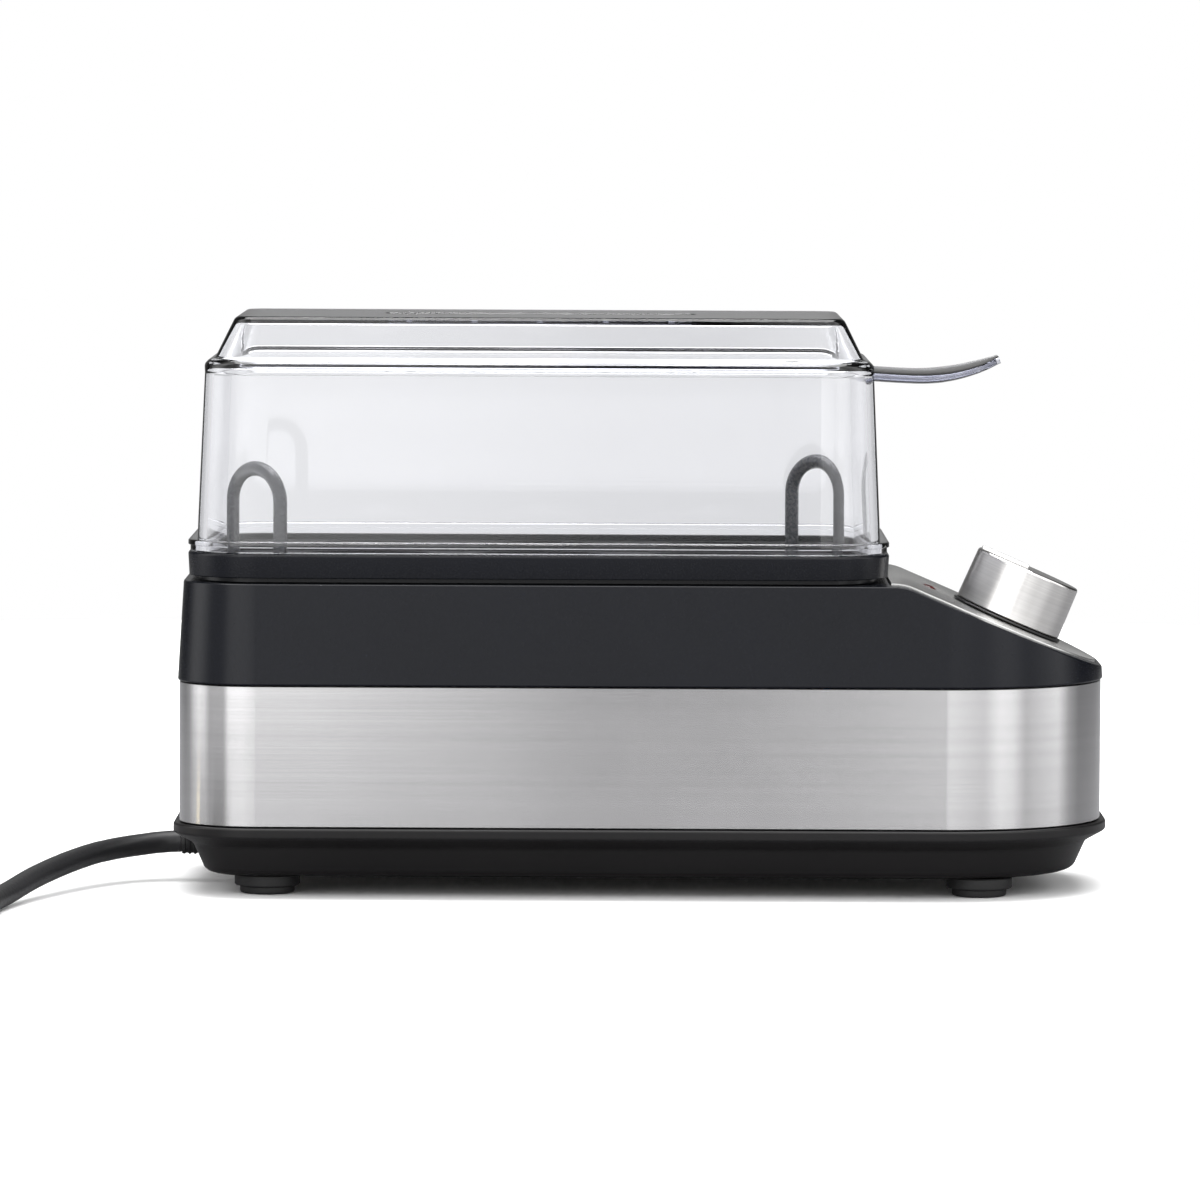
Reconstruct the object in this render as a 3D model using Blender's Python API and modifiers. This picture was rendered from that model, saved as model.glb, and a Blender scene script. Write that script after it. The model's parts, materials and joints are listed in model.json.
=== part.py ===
"""An egg cooker for six eggs: a steel-banded base with a heated water dish, a lift-out egg rack,
a clear steam lid with a tongue handle, a rotary control on the sloping front and a mains lead.

Metres, +Z up. The origin is on the surface the cooker stands on, under the middle of its base,
and +X points to the control end. Every clearance between touching pieces is GAP.
"""

from math import atan2, cos, pi, radians, sin, tan

import bmesh
import bpy
from mathutils import Matrix, Vector

# ---- driving dimensions -------------------------------------------------------------------

GAP = 0.0003  # between pieces that touch
CORNER_STEPS = 6  # facets in a quarter of a plan corner

# steel band, the reference for the whole base
BODY_LENGTH = 0.2626
BODY_WIDTH = 0.1100
REAR_CORNER = 0.0224
NOSE_FLAT = 0.0180  # straight part of the nose, between its two round corners
NOSE_CORNER = (BODY_WIDTH - NOSE_FLAT) / 2
BAND_BOTTOM = 0.0203
BAND_HEIGHT = 0.0397
BAND_THICKNESS = 0.0008

# base pan and feet
FLANGE_OVERHANG = 0.0017
FLANGE_HEIGHT = 0.0030
PAN_FLOOR_Z = 0.0056
PAN_WALL = 0.0022
LIP_HEIGHT = 0.0025
LIP_THICKNESS = 0.0016
FOOT_DISC_RADIUS = 0.00925
FOOT_PAD_RADIUS = 0.00775
FOOT_PAD_HEIGHT = 0.0021
FOOT_STEM_RADIUS = 0.0040
FOOT_REAR_INSET = 0.0250
FOOT_FRONT_INSET = 0.0355
FOOT_SIDE_INSET = 0.0210

# upper housing and its sloping front
HOUSING_OVERHANG = 0.0005
HOUSING_DRAFT = radians(3.4)
HOUSING_WALL = 0.0024
HOUSING_HEIGHT = 0.0284
DECK_THICKNESS = 0.0026
SLOPE_ANGLE = radians(23.2)
NOSE_HEIGHT = 0.0037
SLOPE_FILLET = 0.0150

# control plate, let into the slope between two rims of the housing
PLATE_THICKNESS = 0.0009
PLATE_PROUD = 0.0004
PLATE_SIDE_RIM = 0.0110
PLATE_NOSE_RIM = 0.0012
PLATE_FLOOR_GAP = 0.0004

# tray surround, the frame that the dish, rack and lid sit in
SURROUND_FRONT_LEDGE = 0.0040
SURROUND_SIDE_INSET = 0.0033
SURROUND_CORNER = 0.0200
SURROUND_REAR_INSET = 0.0024
SURROUND_HEIGHT = 0.0083
SHADOW_GAP = 0.0015
SURROUND_RIM = 0.0051
SURROUND_FOOT_INSET = 0.0030
SURROUND_SOFT_EDGE = 0.0006
SURROUND_LIP_INSET = 0.0104
SURROUND_LIP_THICKNESS = 0.0020
SURROUND_LIP_DEPTH = 0.0034
RECESS_DEPTH = 0.0065

# dish, seal and rack
SEAL_THICKNESS = 0.0010
DISH_THICKNESS = 0.0010
DISH_DEPTH = 0.0136
DISH_EDGE = 0.0007
RACK_THICKNESS = 0.0022
RACK_EDGE_GAP = 0.0034
EGG_COLUMNS = 3
EGG_WEB = 0.0070
STEAM_HOLE_RADIUS = 0.0040
GRIP_RADIUS = 0.0021
GRIP_HALF_SPAN = 0.0102
GRIP_HEIGHT = 0.0250
GRIP_ARCH = 0.0095
GRIP_FROM_END = 0.0189
GRIP_FROM_SIDE = 0.0247

# lid
LID_WALL = 0.0023
LID_FLANGE_HEIGHT = 0.0030
LID_SHOULDER_HEIGHT = 0.0541
LID_HEIGHT = 0.0661
LID_WALL_INSET = 0.0026
LID_DRAFT_INSET = 0.0019
LID_LEDGE = 0.0031
LID_SLOPE_INSET = 0.0056
VENT_COUNT = 5
VENT_PITCH = 0.0187
VENT_RADIUS = 0.0014
VENT_GROOVE_WIDTH = 0.0100
VENT_GROOVE_DEPTH = 0.0007
TONGUE_LENGTH = 0.0363
TONGUE_RISE = 0.0042
TONGUE_THICKNESS = 0.0034
TONGUE_WIDTH = 0.0460
TONGUE_BELOW_SHOULDER = 0.0046

# control knob and the parts behind it
KNOB_RADIUS = 0.01575
KNOB_TAPER = 0.00025
KNOB_HEIGHT = 0.0152
KNOB_WALL = 0.0012
KNOB_FROM_NOSE = 0.0269
KNOB_RING_MARGIN = 0.00075
KNOB_RING_HEIGHT = 0.0006
POINTER_WIDTH = 0.0022
POINTER_HEIGHT = 0.0008
SHAFT_RADIUS = 0.0030
BUSH_RADIUS = 0.0045
CONTROL_BODY = 0.0220
CONTROL_DEPTH = 0.0090
LENS_RADIUS = 0.0021
LENS_FROM_RING = 0.0075
NUT_RIM = 0.0034
NUT_HEIGHT = 0.0018

# screws that join pan and housing
SCREW_REAR_INSET = 0.0433
SCREW_FRONT_INSET = 0.0533
SCREW_SIDE_INSET = 0.0155
SCREW_SHANK_RADIUS = 0.0015
SCREW_HEAD_RADIUS = 0.0030
SCREW_LENGTH = 0.0150
POST_RADIUS = 0.0050
POST_TOP_Z = 0.0340
BOSS_RADIUS = 0.0040
BOSS_BELOW_DECK = 0.0149
COUNTERBORE_CEILING = 0.0040

# heater and electrics
ELEMENT_RADIUS = 0.0032
THERMOSTAT_RADIUS = 0.0110
BOARD_LENGTH = 0.0560
BOARD_POST_GAP = 0.0085
BOARD_WIDTH = BODY_WIDTH - 2 * (SCREW_SIDE_INSET + POST_RADIUS + BOARD_POST_GAP)
BOARD_THICKNESS = 0.0016
BOARD_Z = 0.0200
BUZZER_RADIUS = 0.0060
BUZZER_HEIGHT = 0.0075
LEAD_RADIUS = 0.0011

# mains lead
CORD_RADIUS = 0.00315
CORD_Z = 0.0110
CORD_FLOOR_Z = CORD_RADIUS + 0.0001
RELIEF_LENGTH = 0.0250
RELIEF_RADIUS = 0.0043
RELIEF_TIP_RADIUS = 0.0036
COIL_BEHIND_GLAND = 0.0865
COIL_Y = -0.1275
COIL_RADIUS = 0.0345
PLUG_LENGTH = 0.0380
PLUG_WIDTH = 0.0340
PLUG_THICKNESS = 0.0170
PIN_RADIUS = 0.0020
PIN_LENGTH = 0.0190
PIN_SPACING = 0.0190
PIN_EARTH_OFFSET = 0.0030

# ---- derived places -----------------------------------------------------------------------

BAND_TOP = BAND_BOTTOM + BAND_HEIGHT
BACK_X = -BODY_LENGTH / 2
NOSE_X = BODY_LENGTH / 2
PAN_TOP = BAND_BOTTOM - GAP
HOUSING_BOTTOM = BAND_TOP + GAP
DECK_Z = HOUSING_BOTTOM + HOUSING_HEIGHT
NOSE_TOP_Z = HOUSING_BOTTOM + NOSE_HEIGHT
SLOPE_CORNER_X = NOSE_X - (DECK_Z - NOSE_TOP_Z) / tan(SLOPE_ANGLE)
SURROUND_BACK_X = BACK_X + SURROUND_REAR_INSET
SURROUND_FRONT_X = SLOPE_CORNER_X - SURROUND_FRONT_LEDGE
SURROUND_LENGTH = SURROUND_FRONT_X - SURROUND_BACK_X
SURROUND_WIDTH = BODY_WIDTH - 2 * SURROUND_SIDE_INSET
SURROUND_TOP_Z = DECK_Z + SURROUND_HEIGHT
RECESS_FLOOR_Z = SURROUND_TOP_Z - RECESS_DEPTH
BOSS_TOP_Z = DECK_Z - BOSS_BELOW_DECK
TRAY_X = (SURROUND_BACK_X + SURROUND_FRONT_X) / 2
DISH_FLANGE_Z = RECESS_FLOOR_Z + 2 * GAP + SEAL_THICKNESS
DISH_BOTTOM_Z = DISH_FLANGE_Z - DISH_DEPTH + DISH_THICKNESS
RACK_Z = DISH_FLANGE_Z + DISH_THICKNESS + GAP
RACK_INSET = SURROUND_RIM + RACK_EDGE_GAP
EGG_PITCH_X = (SURROUND_LENGTH - 2 * RACK_INSET) * 0.275
EGG_PITCH_Y = (SURROUND_WIDTH - 2 * RACK_INSET) / 2
EGG_HOLE_RADIUS = (min(EGG_PITCH_X, EGG_PITCH_Y) - EGG_WEB) / 2
GRIP_TOP_Z = SURROUND_TOP_Z + GRIP_HEIGHT
LID_Z = SURROUND_TOP_Z + GAP
LID_SHOULDER_Z = LID_Z + LID_SHOULDER_HEIGHT
LID_TOP_Z = LID_Z + LID_HEIGHT
TONGUE_Z = LID_SHOULDER_Z - TONGUE_BELOW_SHOULDER
KNOB_TOP_RADIUS = KNOB_RADIUS - KNOB_TAPER
KNOB_RING_RADIUS = KNOB_RADIUS + KNOB_RING_MARGIN
KNOB_X = NOSE_X - KNOB_FROM_NOSE
KNOB_Z = NOSE_TOP_Z + KNOB_FROM_NOSE * tan(SLOPE_ANGLE)
PAN_INNER_FLOOR_Z = PAN_FLOOR_Z + PAN_WALL

# the lead's route from the gland to the coil, chosen by hand, and its short end to the plug:
# how far behind the gland, then Y and Z
CORD_START_X = BACK_X - 0.0012
COIL_CENTRE = (CORD_START_X - COIL_BEHIND_GLAND, COIL_Y)
LEAD_PLACES = [
    (0.0, 0.0, CORD_Z),
    (0.0030, 0.0, 0.0109),
    (0.0075, -0.0010, 0.0106),
    (0.0145, -0.0055, 0.0100),
    (0.0230, -0.0170, 0.0093),
    (0.0310, -0.0350, 0.0079),
    (0.0385, -0.0560, 0.0059),
    (0.0443, -0.0770, 0.0037),
    (0.0471, -0.0920, CORD_FLOOR_Z),
    (0.0479, -0.1065, CORD_FLOOR_Z),
]
TAIL_PLACES = [
    (0.1311, -0.1145, CORD_FLOOR_Z),
    (0.1311, -0.1045, 0.0042),
    (0.1295, -0.0945, 0.0070),
    (0.1275, -0.0860, PLUG_THICKNESS / 2),
    (0.1275, -0.0800, PLUG_THICKNESS / 2),
]
CORD_ROUTE = [(CORD_START_X - behind, y, z) for behind, y, z in LEAD_PLACES]
TAIL_ROUTE = [(CORD_START_X - behind, y, z) for behind, y, z in TAIL_PLACES]

# ---- scene, collections and materials -----------------------------------------------------

for old in list(bpy.data.objects):
    bpy.data.objects.remove(old, do_unlink=True)

PARTS = bpy.data.collections.new("egg_cooker")
CUTTERS = bpy.data.collections.new("cutters")
for group in (PARTS, CUTTERS):
    bpy.context.scene.collection.children.link(group)


def material(name, colour, roughness, metallic=0.0):
    """A Principled material with the given base colour, roughness and metallic value."""
    made = bpy.data.materials.new(name)
    made.use_nodes = True
    shader = made.node_tree.nodes["Principled BSDF"]
    shader.inputs["Base Color"].default_value = (*colour, 1.0)
    shader.inputs["Roughness"].default_value = roughness
    shader.inputs["Metallic"].default_value = metallic
    return made


BRUSHED_STEEL = material("brushed_steel", (0.62, 0.61, 0.60), 0.32, 1.0)
SATIN_BLACK = material("satin_black", (0.022, 0.024, 0.027), 0.42)
PAN_BLACK = material("pan_black", (0.014, 0.013, 0.014), 0.50)
CLEAR_PLASTIC = material("clear_plastic", (0.90, 0.92, 0.95), 0.05)
GRIP_GREY = material("grip_grey", (0.10, 0.105, 0.11), 0.38)
RUBBER = material("rubber", (0.012, 0.012, 0.013), 0.70)
ALUMINIUM = material("aluminium", (0.68, 0.67, 0.65), 0.30, 1.0)
DISH_STEEL = material("dish_steel", (0.55, 0.54, 0.53), 0.25, 1.0)
SILICONE = material("silicone", (0.55, 0.56, 0.57), 0.60)
BOARD_GREEN = material("board_green", (0.02, 0.12, 0.05), 0.45)
NYLON = material("nylon", (0.80, 0.79, 0.75), 0.50)
BRASS = material("brass", (0.75, 0.60, 0.30), 0.30, 1.0)
CORD_BLACK = material("cord_black", (0.016, 0.016, 0.017), 0.45)
LENS_RED = material("lens_red", (0.60, 0.05, 0.03), 0.15)
LEAD_BROWN = material("lead_brown", (0.16, 0.07, 0.03), 0.45)
LEAD_BLUE = material("lead_blue", (0.05, 0.15, 0.50), 0.45)
LEAD_EARTH = material("lead_earth", (0.25, 0.50, 0.06), 0.45)


# ---- modelling helpers --------------------------------------------------------------------


def add(name, data, finish=None, parent=None):
    """Put data in the scene: as a part with its material, or as a cutter when it has none."""
    made = bpy.data.objects.new(name, data)
    if finish:
        PARTS.objects.link(made)
        data.materials.append(finish)
    else:
        CUTTERS.objects.link(made)
        made.hide_render = True
        made.display_type = "WIRE"
    made.parent = parent
    return made


def finish_mesh(name, bm, finish=None, parent=None, smooth_angle=radians(35)):
    bmesh.ops.recalc_face_normals(bm, faces=bm.faces)
    mesh = bpy.data.meshes.new(name)
    bm.to_mesh(mesh)
    bm.free()
    mesh.shade_smooth()
    mesh.set_sharp_from_angle(angle=smooth_angle)
    return add(name, mesh, finish, parent)


def rounded(back, front, width, rear_radius, front_radius, inset=0.0):
    """A plan outline with rounded corners, taken in all round by inset."""
    x0, x1, y = back + inset, front - inset, width / 2 - inset
    rear, nose = (max(r - inset, 0.0005) for r in (rear_radius, front_radius))
    corners = [
        (x1 - nose, y - nose, nose, 0),
        (x0 + rear, y - rear, rear, 90),
        (x0 + rear, rear - y, rear, 180),
        (x1 - nose, nose - y, nose, 270),
    ]
    points = []
    for cx, cy, radius, start in corners:
        for k in range(CORNER_STEPS + 1):
            angle = radians(start + 90 * k / CORNER_STEPS)
            points.append((cx + radius * cos(angle), cy + radius * sin(angle)))
    return points


def body_outline(inset=0.0):
    return rounded(BACK_X, NOSE_X, BODY_WIDTH, REAR_CORNER, NOSE_CORNER, inset)


def tray_outline(inset=0.0):
    return rounded(
        SURROUND_BACK_X, SURROUND_FRONT_X, SURROUND_WIDTH, SURROUND_CORNER, SURROUND_CORNER, inset
    )


def circle(x, y, radius, steps=20):
    return [
        (x + radius * cos(2 * pi * k / steps), y + radius * sin(2 * pi * k / steps))
        for k in range(steps)
    ]


def loft(name, rings, finish=None, parent=None, wrap=False):
    """Join rings of points, each with as many, one to the next. wrap closes last to first."""
    bm = bmesh.new()
    rows = [[bm.verts.new(point) for point in ring] for ring in rings]
    for low, high in list(zip(rows, rows[1:])) + ([(rows[-1], rows[0])] if wrap else []):
        for i in range(len(low)):
            j = (i + 1) % len(low)
            bm.faces.new((low[i], low[j], high[j], high[i]))
    if not wrap:
        bm.faces.new(reversed(rows[0]))
        bm.faces.new(rows[-1])
    return finish_mesh(name, bm, finish, parent)


def stack(name, outline, sections, finish=None, wrap=False):
    """Loft of one outline at several (height, inset) sections."""
    rings = [[(x, y, z) for x, y in outline(inset)] for z, inset in sections]
    return loft(name, rings, finish, wrap=wrap)


def prism(name, side_points, half_width, finish=None):
    """A side view (x, z) pulled out to half_width on both sides of the middle plane."""
    rings = [[(x, y, z) for x, z in side_points] for y in (-half_width, half_width)]
    return loft(name, rings, finish)


def flat_piece(name, outlines, bottom, top, finish, parent=None):
    """A flat piece between two heights: the first outline is its edge, the others are holes."""
    curve = bpy.data.curves.new(name, "CURVE")
    curve.dimensions = "2D"
    curve.fill_mode = "BOTH"
    curve.extrude = (top - bottom) / 2
    for points in outlines:
        spline = curve.splines.new("POLY")
        spline.points.add(len(points) - 1)
        for place, (x, y) in zip(spline.points, points):
            place.co = (x, y, 0.0, 1.0)
        spline.use_cyclic_u = True
    made = add(name, curve, finish, parent)
    made.location.z = (top + bottom) / 2
    return made


def turned(name, profile, finish, parent=None, steps=20):
    """Turn a profile of (radius, height) points, top to bottom, about the local Z axis."""
    mesh = bpy.data.meshes.new(name)
    edges = [(k, k + 1) for k in range(len(profile) - 1)]
    closed = profile[0][0] > 0
    if closed:
        edges.append((len(profile) - 1, 0))
    mesh.from_pydata([(radius, 0.0, height) for radius, height in profile], edges, [])
    made = add(name, mesh, finish, parent)
    screw = made.modifiers.new("turn", "SCREW")
    screw.steps = screw.render_steps = steps
    screw.use_merge_vertices = True
    screw.merge_threshold = 0.00001
    return made


def tube(name, points, radius, finish, bevel_resolution=2, parent=None):
    """A round bar or lead along points, with filled ends."""
    curve = bpy.data.curves.new(name, "CURVE")
    curve.dimensions = "3D"
    curve.bevel_depth = radius
    curve.bevel_resolution = bevel_resolution
    curve.use_fill_caps = True
    spline = curve.splines.new("POLY")
    spline.points.add(len(points) - 1)
    for place, point in zip(spline.points, points):
        place.co = (*point, 1.0)
    return add(name, curve, finish, parent)


def keep(made, finish):
    """Turn a cutter into a part."""
    CUTTERS.objects.unlink(made)
    PARTS.objects.link(made)
    made.hide_render = False
    made.display_type = "TEXTURED"
    made.data.materials.append(finish)
    return made


def rods(name, rods_wanted, parent=None, steps=16):
    """A cutter of upright cylinders, each (x, y, bottom, top, radius)."""
    bm = bmesh.new()
    for x, y, bottom, top, radius in rods_wanted:
        bmesh.ops.create_cone(
            bm,
            cap_ends=True,
            segments=steps,
            radius1=radius,
            radius2=radius,
            depth=top - bottom,
            matrix=Matrix.Translation((x, y, (top + bottom) / 2)),
        )
    return finish_mesh(name, bm, parent=parent)


def blocks(name, blocks_wanted, finish=None, parent=None):
    """Boxes, each (x0, x1, y0, y1, z0, z1)."""
    bm = bmesh.new()
    for x0, x1, y0, y1, z0, z1 in blocks_wanted:
        middle = Matrix.Translation(((x0 + x1) / 2, (y0 + y1) / 2, (z0 + z1) / 2))
        bmesh.ops.create_cube(bm, size=1.0, matrix=middle @ Matrix.Diagonal(
            (x1 - x0, y1 - y0, z1 - z0, 1.0)
        ))
    return finish_mesh(name, bm, finish, parent)


def combine(target, tool, operation="DIFFERENCE"):
    """Cut the tool from the target, or join or keep the part they share."""
    step = target.modifiers.new(operation.lower(), "BOOLEAN")
    step.operation = operation
    step.solver = "EXACT"
    step.object = tool
    return target


def smooth_route(points, spacing):
    """Points about spacing apart on a smooth curve through the given ones."""
    ends = [Vector(points[0]) * 2 - Vector(points[1]), Vector(points[-1]) * 2 - Vector(points[-2])]
    knots = [ends[0], *map(Vector, points), ends[1]]
    route = []
    for a, b, c, d in zip(knots, knots[1:], knots[2:], knots[3:]):
        steps = max(1, round((c - b).length / spacing))
        for k in range(steps):
            t = k / steps
            route.append(
                0.5 * (2 * b + (c - a) * t + (2 * a - 5 * b + 4 * c - d) * t**2
                       + (3 * b - a - 3 * c + d) * t**3)
            )
    return [*route, knots[-2]]


# ---- the front's side view -----------------------------------------------------------------


def deck_line(offset=0.0, back=BACK_X - 0.02, front=NOSE_X + 0.02):
    """The top surface seen from the side: flat deck, fillet, slope; moved out by offset."""
    arc_x = SLOPE_CORNER_X - SLOPE_FILLET * tan(SLOPE_ANGLE / 2)
    arc_z = DECK_Z - SLOPE_FILLET
    radius = SLOPE_FILLET + offset
    points = [(back, DECK_Z + offset)]
    for k in range(CORNER_STEPS + 1):
        angle = SLOPE_ANGLE * k / CORNER_STEPS
        points.append((arc_x + radius * sin(angle), arc_z + radius * cos(angle)))
    last_x, last_z = points[-1]
    points.append((front, last_z - (front - last_x) * tan(SLOPE_ANGLE)))
    return points


def under_deck(name, offset, bottom):
    """Everything between a height and the offset top surface."""
    line = deck_line(offset)
    return prism(name, [*line, (line[-1][0], bottom), (line[0][0], bottom)], BODY_WIDTH)


# ---- base pan, feet, band ------------------------------------------------------------------


def screw_places():
    side = BODY_WIDTH / 2 - SCREW_SIDE_INSET
    return [
        (end, x, word, y)
        for end, x in (("rear", BACK_X + SCREW_REAR_INSET), ("front", NOSE_X - SCREW_FRONT_INSET))
        for word, y in (("left", side), ("right", -side))
    ]


def foot_places():
    side = BODY_WIDTH / 2 - FOOT_SIDE_INSET
    return [
        (end, x, word, y)
        for end, x in (("rear", BACK_X + FOOT_REAR_INSET), ("front", NOSE_X - FOOT_FRONT_INSET))
        for word, y in (("left", side), ("right", -side))
    ]


def board_corners():
    x0, x1 = board_span()
    return [(x, y) for x in (x0 + 0.004, x1 - 0.004) for y in
            (0.004 - BOARD_WIDTH / 2, BOARD_WIDTH / 2 - 0.004)]


def board_span():
    front = NOSE_X - FOOT_FRONT_INSET + FOOT_DISC_RADIUS
    return front - BOARD_LENGTH, front


def base_pan():
    flange_bottom = PAN_TOP - FLANGE_HEIGHT
    knee = flange_bottom - 0.0029
    over = FLANGE_OVERHANG
    lip_outer = BAND_THICKNESS + GAP
    lip_inner = lip_outer + LIP_THICKNESS
    outside = [
        (PAN_FLOOR_Z, 0.0114 - over + 0.0012),
        (PAN_FLOOR_Z + 0.0005, 0.0092 - over + 0.0008),
        (PAN_FLOOR_Z + 0.0014, 0.0088 - over),
        (knee, 0.0056 - over),
        (flange_bottom, 0.0004 - over),
        (flange_bottom + 0.0004, -over),
        (PAN_TOP - 0.0004, -over),
        (PAN_TOP, 0.0004 - over),
    ]
    inside = [
        (PAN_TOP, lip_outer),
        (PAN_TOP + LIP_HEIGHT, lip_outer),
        (PAN_TOP + LIP_HEIGHT, lip_inner),
        (flange_bottom, lip_inner + 0.0014),
        (knee, 0.0056 - over + PAN_WALL),
        (PAN_INNER_FLOOR_Z + 0.0008, 0.0088 - over + PAN_WALL * 0.8),
        (PAN_INNER_FLOOR_Z, 0.0100 - over + PAN_WALL),
    ]
    pan = stack("base_pan", body_outline, outside + inside, PAN_BLACK)
    posts = [
        (x, y, PAN_INNER_FLOOR_Z - 0.001, POST_TOP_Z, POST_RADIUS) for _, x, _, y in screw_places()
    ]
    posts += [(x, y, PAN_INNER_FLOOR_Z - 0.001, BOARD_Z - GAP, 0.0025) for x, y in board_corners()]
    combine(pan, rods("pan_posts", posts), "UNION")
    seat = POST_TOP_Z - COUNTERBORE_CEILING
    holes = [(x, y, -0.001, seat, SCREW_HEAD_RADIUS + GAP) for _, x, _, y in screw_places()]
    combine(pan, rods("pan_counterbores", holes))
    holes = [
        (x, y, 0.001, POST_TOP_Z + 0.001, SCREW_SHANK_RADIUS + GAP) for _, x, _, y in screw_places()
    ]
    holes += [
        (x, y, 0.001, PAN_INNER_FLOOR_Z + 0.001, FOOT_STEM_RADIUS + GAP)
        for _, x, _, y in foot_places()
    ]
    combine(pan, rods("pan_holes", holes))
    inlet = rods("pan_inlet", [(0, 0, -0.02, 0.02, RELIEF_RADIUS + GAP)])
    inlet.rotation_euler = (0, pi / 2, 0)
    inlet.location = (BACK_X + 0.006, 0, CORD_Z)
    combine(pan, inlet)
    slots = [
        (x - 0.001, x + 0.001, -0.014, 0.014, 0.002, PAN_INNER_FLOOR_Z + 0.001)
        for x in (TRAY_X - 0.02 + 0.008 * k for k in range(6))
    ]
    combine(pan, blocks("pan_vents", slots))
    return pan


def foot(name, x, y):
    pad, seat = FOOT_PAD_HEIGHT, PAN_FLOOR_Z - GAP
    made = turned(
        name,
        [
            (0, PAN_INNER_FLOOR_Z),
            (FOOT_STEM_RADIUS, PAN_INNER_FLOOR_Z),
            (FOOT_STEM_RADIUS, seat),
            (FOOT_DISC_RADIUS, seat),
            (FOOT_DISC_RADIUS, pad + 0.0004),
            (FOOT_DISC_RADIUS - 0.0005, pad),
            (FOOT_PAD_RADIUS, pad),
            (FOOT_PAD_RADIUS, 0.0004),
            (FOOT_PAD_RADIUS - 0.0004, 0),
            (0, 0),
        ],
        RUBBER,
    )
    made.location = (x, y, 0)
    return made


def base_screw(name, x, y):
    seat = POST_TOP_Z - COUNTERBORE_CEILING - GAP
    head = SCREW_HEAD_RADIUS
    made = turned(
        name,
        [
            (0, seat + SCREW_LENGTH),
            (SCREW_SHANK_RADIUS * 0.5, seat + SCREW_LENGTH),
            (SCREW_SHANK_RADIUS, seat + SCREW_LENGTH - 0.002),
            (SCREW_SHANK_RADIUS, seat),
            (head, seat),
            (head, seat - 0.0012),
            (head * 0.7, seat - 0.0022),
            (head * 0.35, seat - 0.0022),
            (head * 0.35, seat - 0.0010),
            (0, seat - 0.0010),
        ],
        BRUSHED_STEEL,
        steps=16,
    )
    made.location = (x, y, 0)
    return made


def steel_band():
    return flat_piece(
        "steel_band",
        [body_outline(), body_outline(BAND_THICKNESS)],
        BAND_BOTTOM,
        BAND_TOP,
        BRUSHED_STEEL,
    )


# ---- upper housing and control plate -------------------------------------------------------


def drafted(name, extra, low, high):
    """The housing's drafted outline between two heights, taken in by extra."""
    sections = [
        (z, extra - HOUSING_OVERHANG + (z - HOUSING_BOTTOM) * tan(HOUSING_DRAFT))
        for z in (low, high)
    ]
    return stack(name, body_outline, sections)


def knob_frame():
    """An empty on the knob's axis, its Z along the axis, where that leaves the slope."""
    frame = bpy.data.objects.new("knob_axis", None)
    PARTS.objects.link(frame)
    frame.location = (KNOB_X, 0, KNOB_Z)
    frame.rotation_euler = (0, SLOPE_ANGLE, 0)
    return frame


def upper_housing(axis):
    top = DECK_Z + 0.004
    shell = keep(drafted("upper_housing", 0.0, HOUSING_BOTTOM, top), SATIN_BLACK)
    combine(shell, under_deck("housing_top", 0.0, HOUSING_BOTTOM - 0.01), "INTERSECT")
    hollow = drafted("housing_hollow", HOUSING_WALL, HOUSING_BOTTOM - 0.005, top)
    combine(hollow, under_deck("hollow_top", -DECK_THICKNESS, HOUSING_BOTTOM - 0.02), "INTERSECT")
    combine(shell, hollow)
    lip_in = BAND_THICKNESS + GAP
    lip = stack(
        "housing_lip",
        body_outline,
        [
            (HOUSING_BOTTOM - LIP_HEIGHT, lip_in),
            (HOUSING_BOTTOM + 0.004, lip_in),
            (HOUSING_BOTTOM + 0.004, lip_in + LIP_THICKNESS),
            (HOUSING_BOTTOM - LIP_HEIGHT, lip_in + LIP_THICKNESS),
        ],
        wrap=True,
    )
    combine(shell, lip, "UNION")
    bosses = [(x, y, POST_TOP_Z + GAP, BOSS_TOP_Z, BOSS_RADIUS) for _, x, _, y in screw_places()]
    combine(shell, rods("housing_bosses", bosses), "UNION")
    wall_y = BODY_WIDTH / 2 - HOUSING_WALL
    ribs = [
        (x - 0.001, x + 0.001, min(y, side), max(y, side), HOUSING_BOTTOM + 0.001, BOSS_TOP_Z - 0.001)
        for _, x, _, y in screw_places()
        for side in (wall_y if y > 0 else -wall_y,)
    ]
    combine(shell, blocks("housing_ribs", ribs), "UNION")
    pilots = [
        (x, y, POST_TOP_Z - 0.001, POST_TOP_Z + SCREW_LENGTH, SCREW_SHANK_RADIUS + GAP)
        for _, x, _, y in screw_places()
    ]
    combine(shell, rods("housing_pilots", pilots))
    opening = SURROUND_LIP_INSET - SURROUND_LIP_THICKNESS - GAP
    combine(
        shell,
        stack("deck_opening", tray_outline, [(DECK_Z - 0.01, opening), (DECK_Z + 0.01, opening)]),
    )
    recess_floor = PLATE_PROUD - PLATE_THICKNESS - PLATE_FLOOR_GAP
    combine(shell, plate_solid("plate_recess", SURROUND_FRONT_X, recess_floor, 0.004, -GAP))
    combine(shell, rods("bush_hole", [(0, 0, -0.01, 0.01, BUSH_RADIUS + GAP)], axis))
    combine(shell, rods("lens_hole", [(lens_x(), 0, -0.01, 0.01, LENS_RADIUS + GAP)], axis))
    return shell


def plate_solid(name, back, lower, upper, edge):
    """The space along the top surface between two offsets from it, inside the plate's outline."""
    slab = prism(name, deck_line(upper, back) + deck_line(lower, back)[::-1], BODY_WIDTH)

    def outline(inset):
        nose_radius = BODY_WIDTH / 2 - PLATE_SIDE_RIM - GAP
        width = BODY_WIDTH - 2 * PLATE_SIDE_RIM
        front = NOSE_X - PLATE_NOSE_RIM
        return rounded(back - 0.01, front, width, 0.001, nose_radius, inset)

    trim = stack(name + "_trim", outline, [(z, edge) for z in (HOUSING_BOTTOM, DECK_Z + 0.02)])
    return combine(slab, trim, "INTERSECT")


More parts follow.
